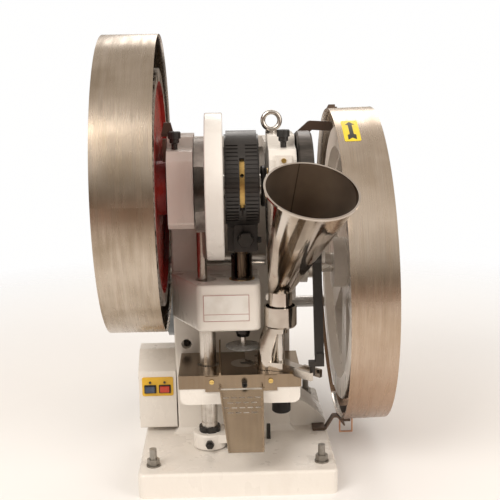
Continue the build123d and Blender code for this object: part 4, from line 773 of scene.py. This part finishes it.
# ---- Rivets of the guards
# The gear guard's band is closed with a lap joint at the back, held by two rows of small dome-headed rivets.
def rivet(name, spot, outward, radius, height):
    """A domed head standing on a surface."""
    bpy.ops.object.select_all(action="DESELECT")
    turn = Vector(outward).to_track_quat("Z", "Y").to_euler()
    middle = Vector(spot) + Vector(outward).normalized() * height / 2
    head = begin("cylinder", name, vertices=24, radius=radius, depth=height, location=middle, rotation=turn)
    top = Vector(outward).normalized()
    crown = height * 0.9
    choose(head, edges=lambda a, b: min((a - Vector(spot)).dot(top), (b - Vector(spot)).dot(top)) > crown)
    work("bevel", offset=height * 0.8, segments=4)
    return head


def join(pieces, name):
    """Joins like pieces into one."""
    bpy.ops.object.select_all(action="DESELECT")
    for piece in pieces:
        piece.select_set(True)
    bpy.context.view_layer.objects.active = pieces[0]
    bpy.ops.object.join()
    pieces[0].name = name
    pieces[0].data.name = name
    return pieces[0]


def strip_on_band(name, y, z, radius, turns, low, high):
    """A short curved strip lapped over a band about an axis along X."""
    strip = barrel(name, ((low + high) / 2, y, z), radius, high - low, "X", 360)
    choose(strip, faces=lambda c, n: abs(n.x) > 0.5 or not turns[0] < math.atan2(c.z - z, c.y - y) < turns[1])
    work("delete", type="FACE")
    thicken(strip, 0.0012, -1, 0.0003)
    return strip


lap = strip_on_band("gear_guard_lap", -0.055, 0.501, 0.2492, (math.radians(-38), math.radians(-30)), -0.2045, -0.1155)
fit(lap, gear_guard_steel)
heads = []
for row in range(5):
    for degree in (-36.5, -31.5):
        way = Vector((0, math.cos(math.radians(degree)), math.sin(math.radians(degree))))
        spot = Vector((-0.197 + row * 0.0185, -0.055, 0.501)) + way * 0.2492
        heads.append(rivet("gear_guard_rivet", spot, way, 0.0028, 0.0015))
rivets = join(heads, "gear_guard_rivets")
fit(rivets, hem_steel_with_painted_highlight)

# ---- Slotted screws
# Zinc-plated pan heads, turned and slotted: they hold the column's cover, the guard plate, the
# switch box and the motor's terminal box.
bright_zinc = metal("Bright zinc plate", (0.62, 0.60, 0.56), (0.38, 0.36, 0.33), 0.2, 0.4)


def pan_screw(name, spot, outward, radius):
    """A pan head with its screwdriver slot."""
    head = rivet(name, spot, outward, radius, radius * 0.55)
    way = Vector(outward).normalized()
    turn = way.to_track_quat("Z", "Y").to_euler()
    slot_middle = Vector(spot) + way * radius * 0.5
    sizes = (radius * 3, radius * 0.28, radius * 0.4)
    slot = begin("cube", "slot", size=1, location=slot_middle, rotation=turn, scale=sizes)
    cut = head.modifiers.new("slot", "BOOLEAN")
    cut.operation = "DIFFERENCE"
    cut.object = slot
    cut.solver = "EXACT"
    bpy.context.view_layer.objects.active = head
    bpy.ops.object.modifier_apply(modifier=cut.name)
    bpy.data.objects.remove(slot)
    return head


def screws(name, spots, outward, radius, material=bright_zinc):
    """A set of like screws, modelled once and copied."""
    first = pan_screw(name, spots[0], outward, radius)
    heads = [first]
    for spot in spots[1:]:
        bpy.ops.object.select_all(action="DESELECT")
        first.select_set(True)
        bpy.context.view_layer.objects.active = first
        bpy.ops.object.duplicate()
        copy = bpy.context.object
        copy.location = Vector(spot) - Vector(spots[0])
        bpy.ops.object.transform_apply(location=True)
        heads.append(copy)
    whole = join(heads, name)
    fit(whole, material)
    return whole


cover_low, cover_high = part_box("column_cover")
cover_spots = [
    (x, cover_high[1] - 0.0001, z)
    for x in (cover_low[0] + 0.009, cover_high[0] - 0.009)
    for z in (cover_low[2] + 0.012, (cover_low[2] + cover_high[2]) / 2, cover_high[2] - 0.012)
]
screws("column_cover_screws", cover_spots, (0, 1, 0), 0.0045)
screws("guard_plate_screws", [(-0.1108, y, 0.5261) for y in (0.135, 0.165)], (0, 0, 1), 0.0036)

# ---- Switch box: side screws and bezels
# A folded and enamelled box; the lid is held by screws at the side, and each button sits in a
# black moulded bezel.
box_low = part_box("switch_box")[0]
box_spots = [(box_low[0] + 0.0001, y, z) for y in (-0.006, 0.046) for z in (0.066, 0.142)]
screws("switch_box_screws", box_spots, (-1, 0, 0), 0.0034)

bezel_black = moulded("Black bezel plastic", (0.030, 0.029, 0.028), (0.07, 0.068, 0.065))
for name in ("start_button", "stop_button"):
    low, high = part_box(name)
    rim_out, rim_in = 0.0021, 0.0004
    front = -0.0215
    outer_low = (low[0] - rim_out, front - 0.0022, low[2] - rim_out)
    outer_high = (high[0] + rim_out, front + 0.0002, high[2] + rim_out)
    bezel = block(name + "_bezel", outer_low, outer_high)
    middle_x, middle_z = (low[0] + high[0]) / 2, (low[2] + high[2]) / 2
    choose(bezel, edges=lambda a, b: abs(a.y - b.y) > 0.001)
    work("bevel", offset=0.0012, segments=3)
    choose(bezel, faces=lambda c, n: abs(n.y) > 0.9)
    work("inset", thickness=rim_out - rim_in)
    choose(
        bezel,
        faces=lambda c, n: abs(n.y) > 0.9 and abs(c.x - middle_x) < 0.0001 and abs(c.z - middle_z) < 0.0001,
    )
    work("bridge_edge_loops")
    choose(bezel, edges=lambda a, b: a.y < front - 0.0021 and b.y < front - 0.0021)
    work("bevel", offset=0.0004, segments=2)
    fit(bezel, bezel_black)

# ---- Motor: fins and fan grille
# The motor's cast barrel is ribbed for cooling, and its fan sits behind a black wire grille at
# the left end.
motor_middle = (0.328, 0.190)
fins = []
for count in range(40):
    degree = -90 + 9 * count
    from_top = abs((degree - 90 + 180) % 360 - 180)
    from_foot = abs((degree + 90 + 180) % 360 - 180)
    if from_top < 40 or from_foot < 50:
        continue
    turn = math.radians(degree)
    reach = 0.0678
    middle = (-0.014, motor_middle[0] + reach * math.cos(turn), motor_middle[1] + reach * math.sin(turn))
    lean = (turn - math.pi / 2, 0, 0)
    fin = begin("cube", "motor_fin", size=1, location=middle, rotation=lean, scale=(0.150, 0.0028, 0.0072))
    way = Vector((0, math.cos(turn), math.sin(turn)))
    choose(fin, edges=lambda a, b: min((a - Vector(middle)).dot(way), (b - Vector(middle)).dot(way)) > 0.003)
    work("bevel", offset=0.0011, segments=2)
    fins.append(fin)
motor_fins = join(fins, "motor_fins")
fit(motor_fins, grey_enamel)

rings = []
for radius in (0.018, 0.030, 0.042, 0.054):
    ring = barrel("fan_ring", (-0.1394, *motor_middle), radius, 0.0028, "X", 64)
    choose(ring, faces=lambda c, n: abs(n.x) > 0.5)
    work("inset", thickness=0.0026)
    choose(ring, faces=lambda c, n: abs(n.x) > 0.5 and (Vector(c).yz - Vector(motor_middle)).length < 0.004)
    work("bridge_edge_loops")
    choose(ring, edges=lambda a, b: a.x < -0.1405 and b.x < -0.1405)
    work("bevel", offset=0.0009, segments=2)
    rings.append(ring)
for count in range(6):
    turn = math.radians(60 * count)
    middle = (-0.1394, motor_middle[0] + 0.030 * math.cos(turn), motor_middle[1] + 0.030 * math.sin(turn))
    spoke = begin("cube", "fan_spoke", size=1, location=middle, rotation=(turn, 0, 0), scale=(0.0022, 0.060, 0.0026))
    choose(spoke, edges=lambda a, b: a.x < -0.1400 and b.x < -0.1400)
    work("bevel", offset=0.0006, segments=2)
    rings.append(spoke)
grille = join(rings, "motor_fan_grille")
fit(grille, black_steel)

terminal_spots = [(x, y, 0.2759) for x in (-0.054, 0.014) for y in (0.306, 0.350)]
screws("terminal_box_screws", terminal_spots, (0, 0, 1), 0.0032)

# ---- Oil cup caps
# Fluted screw caps on the two oil cups.
for number, cup_x in enumerate((-0.091, 0.084)):
    cap = barrel("oil_cup_cap_%d" % (number + 1), (cup_x, -0.122, 0.5885), 0.0098, 0.0100, "Z", 32)
    choose(cap, faces=lambda c, n: abs(n.z) < 0.5 and round(math.degrees(math.atan2(n.y, n.x)) / 11.25 - 0.5) % 2 == 0)
    work("inset", thickness=0.0002, use_individual=True)
    bpy.ops.object.mode_set(mode="EDIT")
    bpy.ops.transform.resize(value=(1.07, 1.07, 1.0), center_override=(cup_x, -0.122, 0.5885))
    bpy.ops.object.mode_set(mode="OBJECT")
    choose(cap, faces=lambda c, n: n.z > 0.5)
    work("inset", thickness=0.0016)
    bpy.ops.object.mode_set(mode="EDIT")
    bpy.ops.transform.translate(value=(0, 0, 0.0009))
    bpy.ops.object.mode_set(mode="OBJECT")
    fit(cap, bezel_black)

# ---- Detent post
# A small blackened steel post that stands on the base beside the filling ring.
post = block("detent_post", (0.0530, -0.0640, 0.0415), (0.0600, -0.0560, 0.0690))
choose(post, faces=lambda c, n: n.y < -0.5)
work("inset", thickness=0.0015)
bpy.ops.object.mode_set(mode="EDIT")
bpy.ops.transform.translate(value=(0, 0.0008, 0))
bpy.ops.object.mode_set(mode="OBJECT")
choose(post, edges=lambda a, b: min(a.z, b.z) > 0.068)
work("bevel", offset=0.0015, segments=3)
fit(post, black_steel)

# ---- Studio: floor, lights and camera
# A plain pale floor under two soft boxes, with warm surroundings for the steel to reflect.
floor = begin("plane", "studio_floor", size=14, location=(0, 0, 0))
floor_paint, tree, shader = finish("Floor", (0.9, 0.89, 0.88), roughness=0.75)
feed(tree, shader["Base Color"], mix(tree, noise(tree, 1.5, 3.0), (0.90, 0.89, 0.88), (0.86, 0.85, 0.84)))
point = place(tree, "TexCoord").outputs["Object"]
feed(tree, shader["Alpha"], spread(tree, vector(tree, "DOT_PRODUCT", point, point), 1, 0, 0.3, 3.0))
floor.data.materials.append(floor_paint)

world = bpy.data.worlds.new("Studio")
bpy.context.scene.world = world
world.use_nodes = True
tree = world.node_tree
background = tree.nodes["Background"]
height = place(tree, "SeparateXYZ", Vector=place(tree, "TexCoord").outputs["Generated"]).outputs["Z"]
surround = tree.nodes.new("ShaderNodeValToRGB")
feed(tree, surround.inputs["Fac"], spread(tree, height, 0, 1, -1, 1))
stops = surround.color_ramp.elements
for _ in range(5):
    stops.new(0.5)
levels = (
    (0.0, (0.30, 0.19, 0.14)), (0.40, (0.42, 0.28, 0.21)), (0.49, (0.16, 0.13, 0.10)), (0.55, (0.33, 0.29, 0.25)),
    (0.66, (0.60, 0.55, 0.50)), (0.82, (0.80, 0.74, 0.68)), (1.0, (0.62, 0.56, 0.50)),
)
for stop, (position, colour) in zip(stops, levels):
    stop.position = position
    stop.color = (*colour, 1)
seen = place(tree, "LightPath").outputs["Is Camera Ray"]
feed(tree, background.inputs["Color"], mix(tree, seen, surround.outputs["Color"], (1.0, 0.998, 0.995)))
background.inputs["Strength"].default_value = 1.0


def soft_box(name, spot, aim, size, power, colour):
    """A rectangular area light aimed at a point."""
    light = bpy.data.lights.new(name, "AREA")
    light.shape = "RECTANGLE"
    light.size, light.size_y = size
    light.energy = power
    light.color = colour
    lamp = bpy.data.objects.new(name, light)
    bpy.context.collection.objects.link(lamp)
    lamp.location = spot
    lamp.rotation_euler = (Vector(aim) - Vector(spot)).to_track_quat("-Z", "Y").to_euler()


soft_box("key", (-1.5, -1.9, 2.2), (0, 0, 0.3), (1.6, 1.6), 54, (1.0, 0.95, 0.89))
soft_box("fill", (1.9, -1.6, 1.3), (0, 0, 0.3), (1.4, 1.8), 26, (1.0, 0.94, 0.88))
soft_box("back", (0.4, 2.0, 2.0), (0, 0, 0.4), (1.8, 1.2), 15, (1.0, 0.97, 0.94))

yaw, pitch, roll = math.radians(1.36), math.radians(11.7), -0.017
aim = Vector((math.sin(yaw) * math.cos(pitch), math.cos(yaw) * math.cos(pitch), -math.sin(pitch)))
level = Vector((math.cos(yaw), -math.sin(yaw), 0))
upright = level.cross(aim)
right = math.cos(roll) * level + math.sin(roll) * upright
up = -math.sin(roll) * level + math.cos(roll) * upright
camera_data = bpy.data.cameras.new("camera")
camera_data.lens = 68.76
camera = bpy.data.objects.new("camera", camera_data)
bpy.context.collection.objects.link(camera)
turn = Matrix((right, up, -aim)).transposed().to_4x4()
camera.matrix_world = Matrix.Translation((-0.009, -1.660, 0.717)) @ turn
bpy.context.scene.camera = camera
bpy.context.scene.view_settings.view_transform = "Standard"
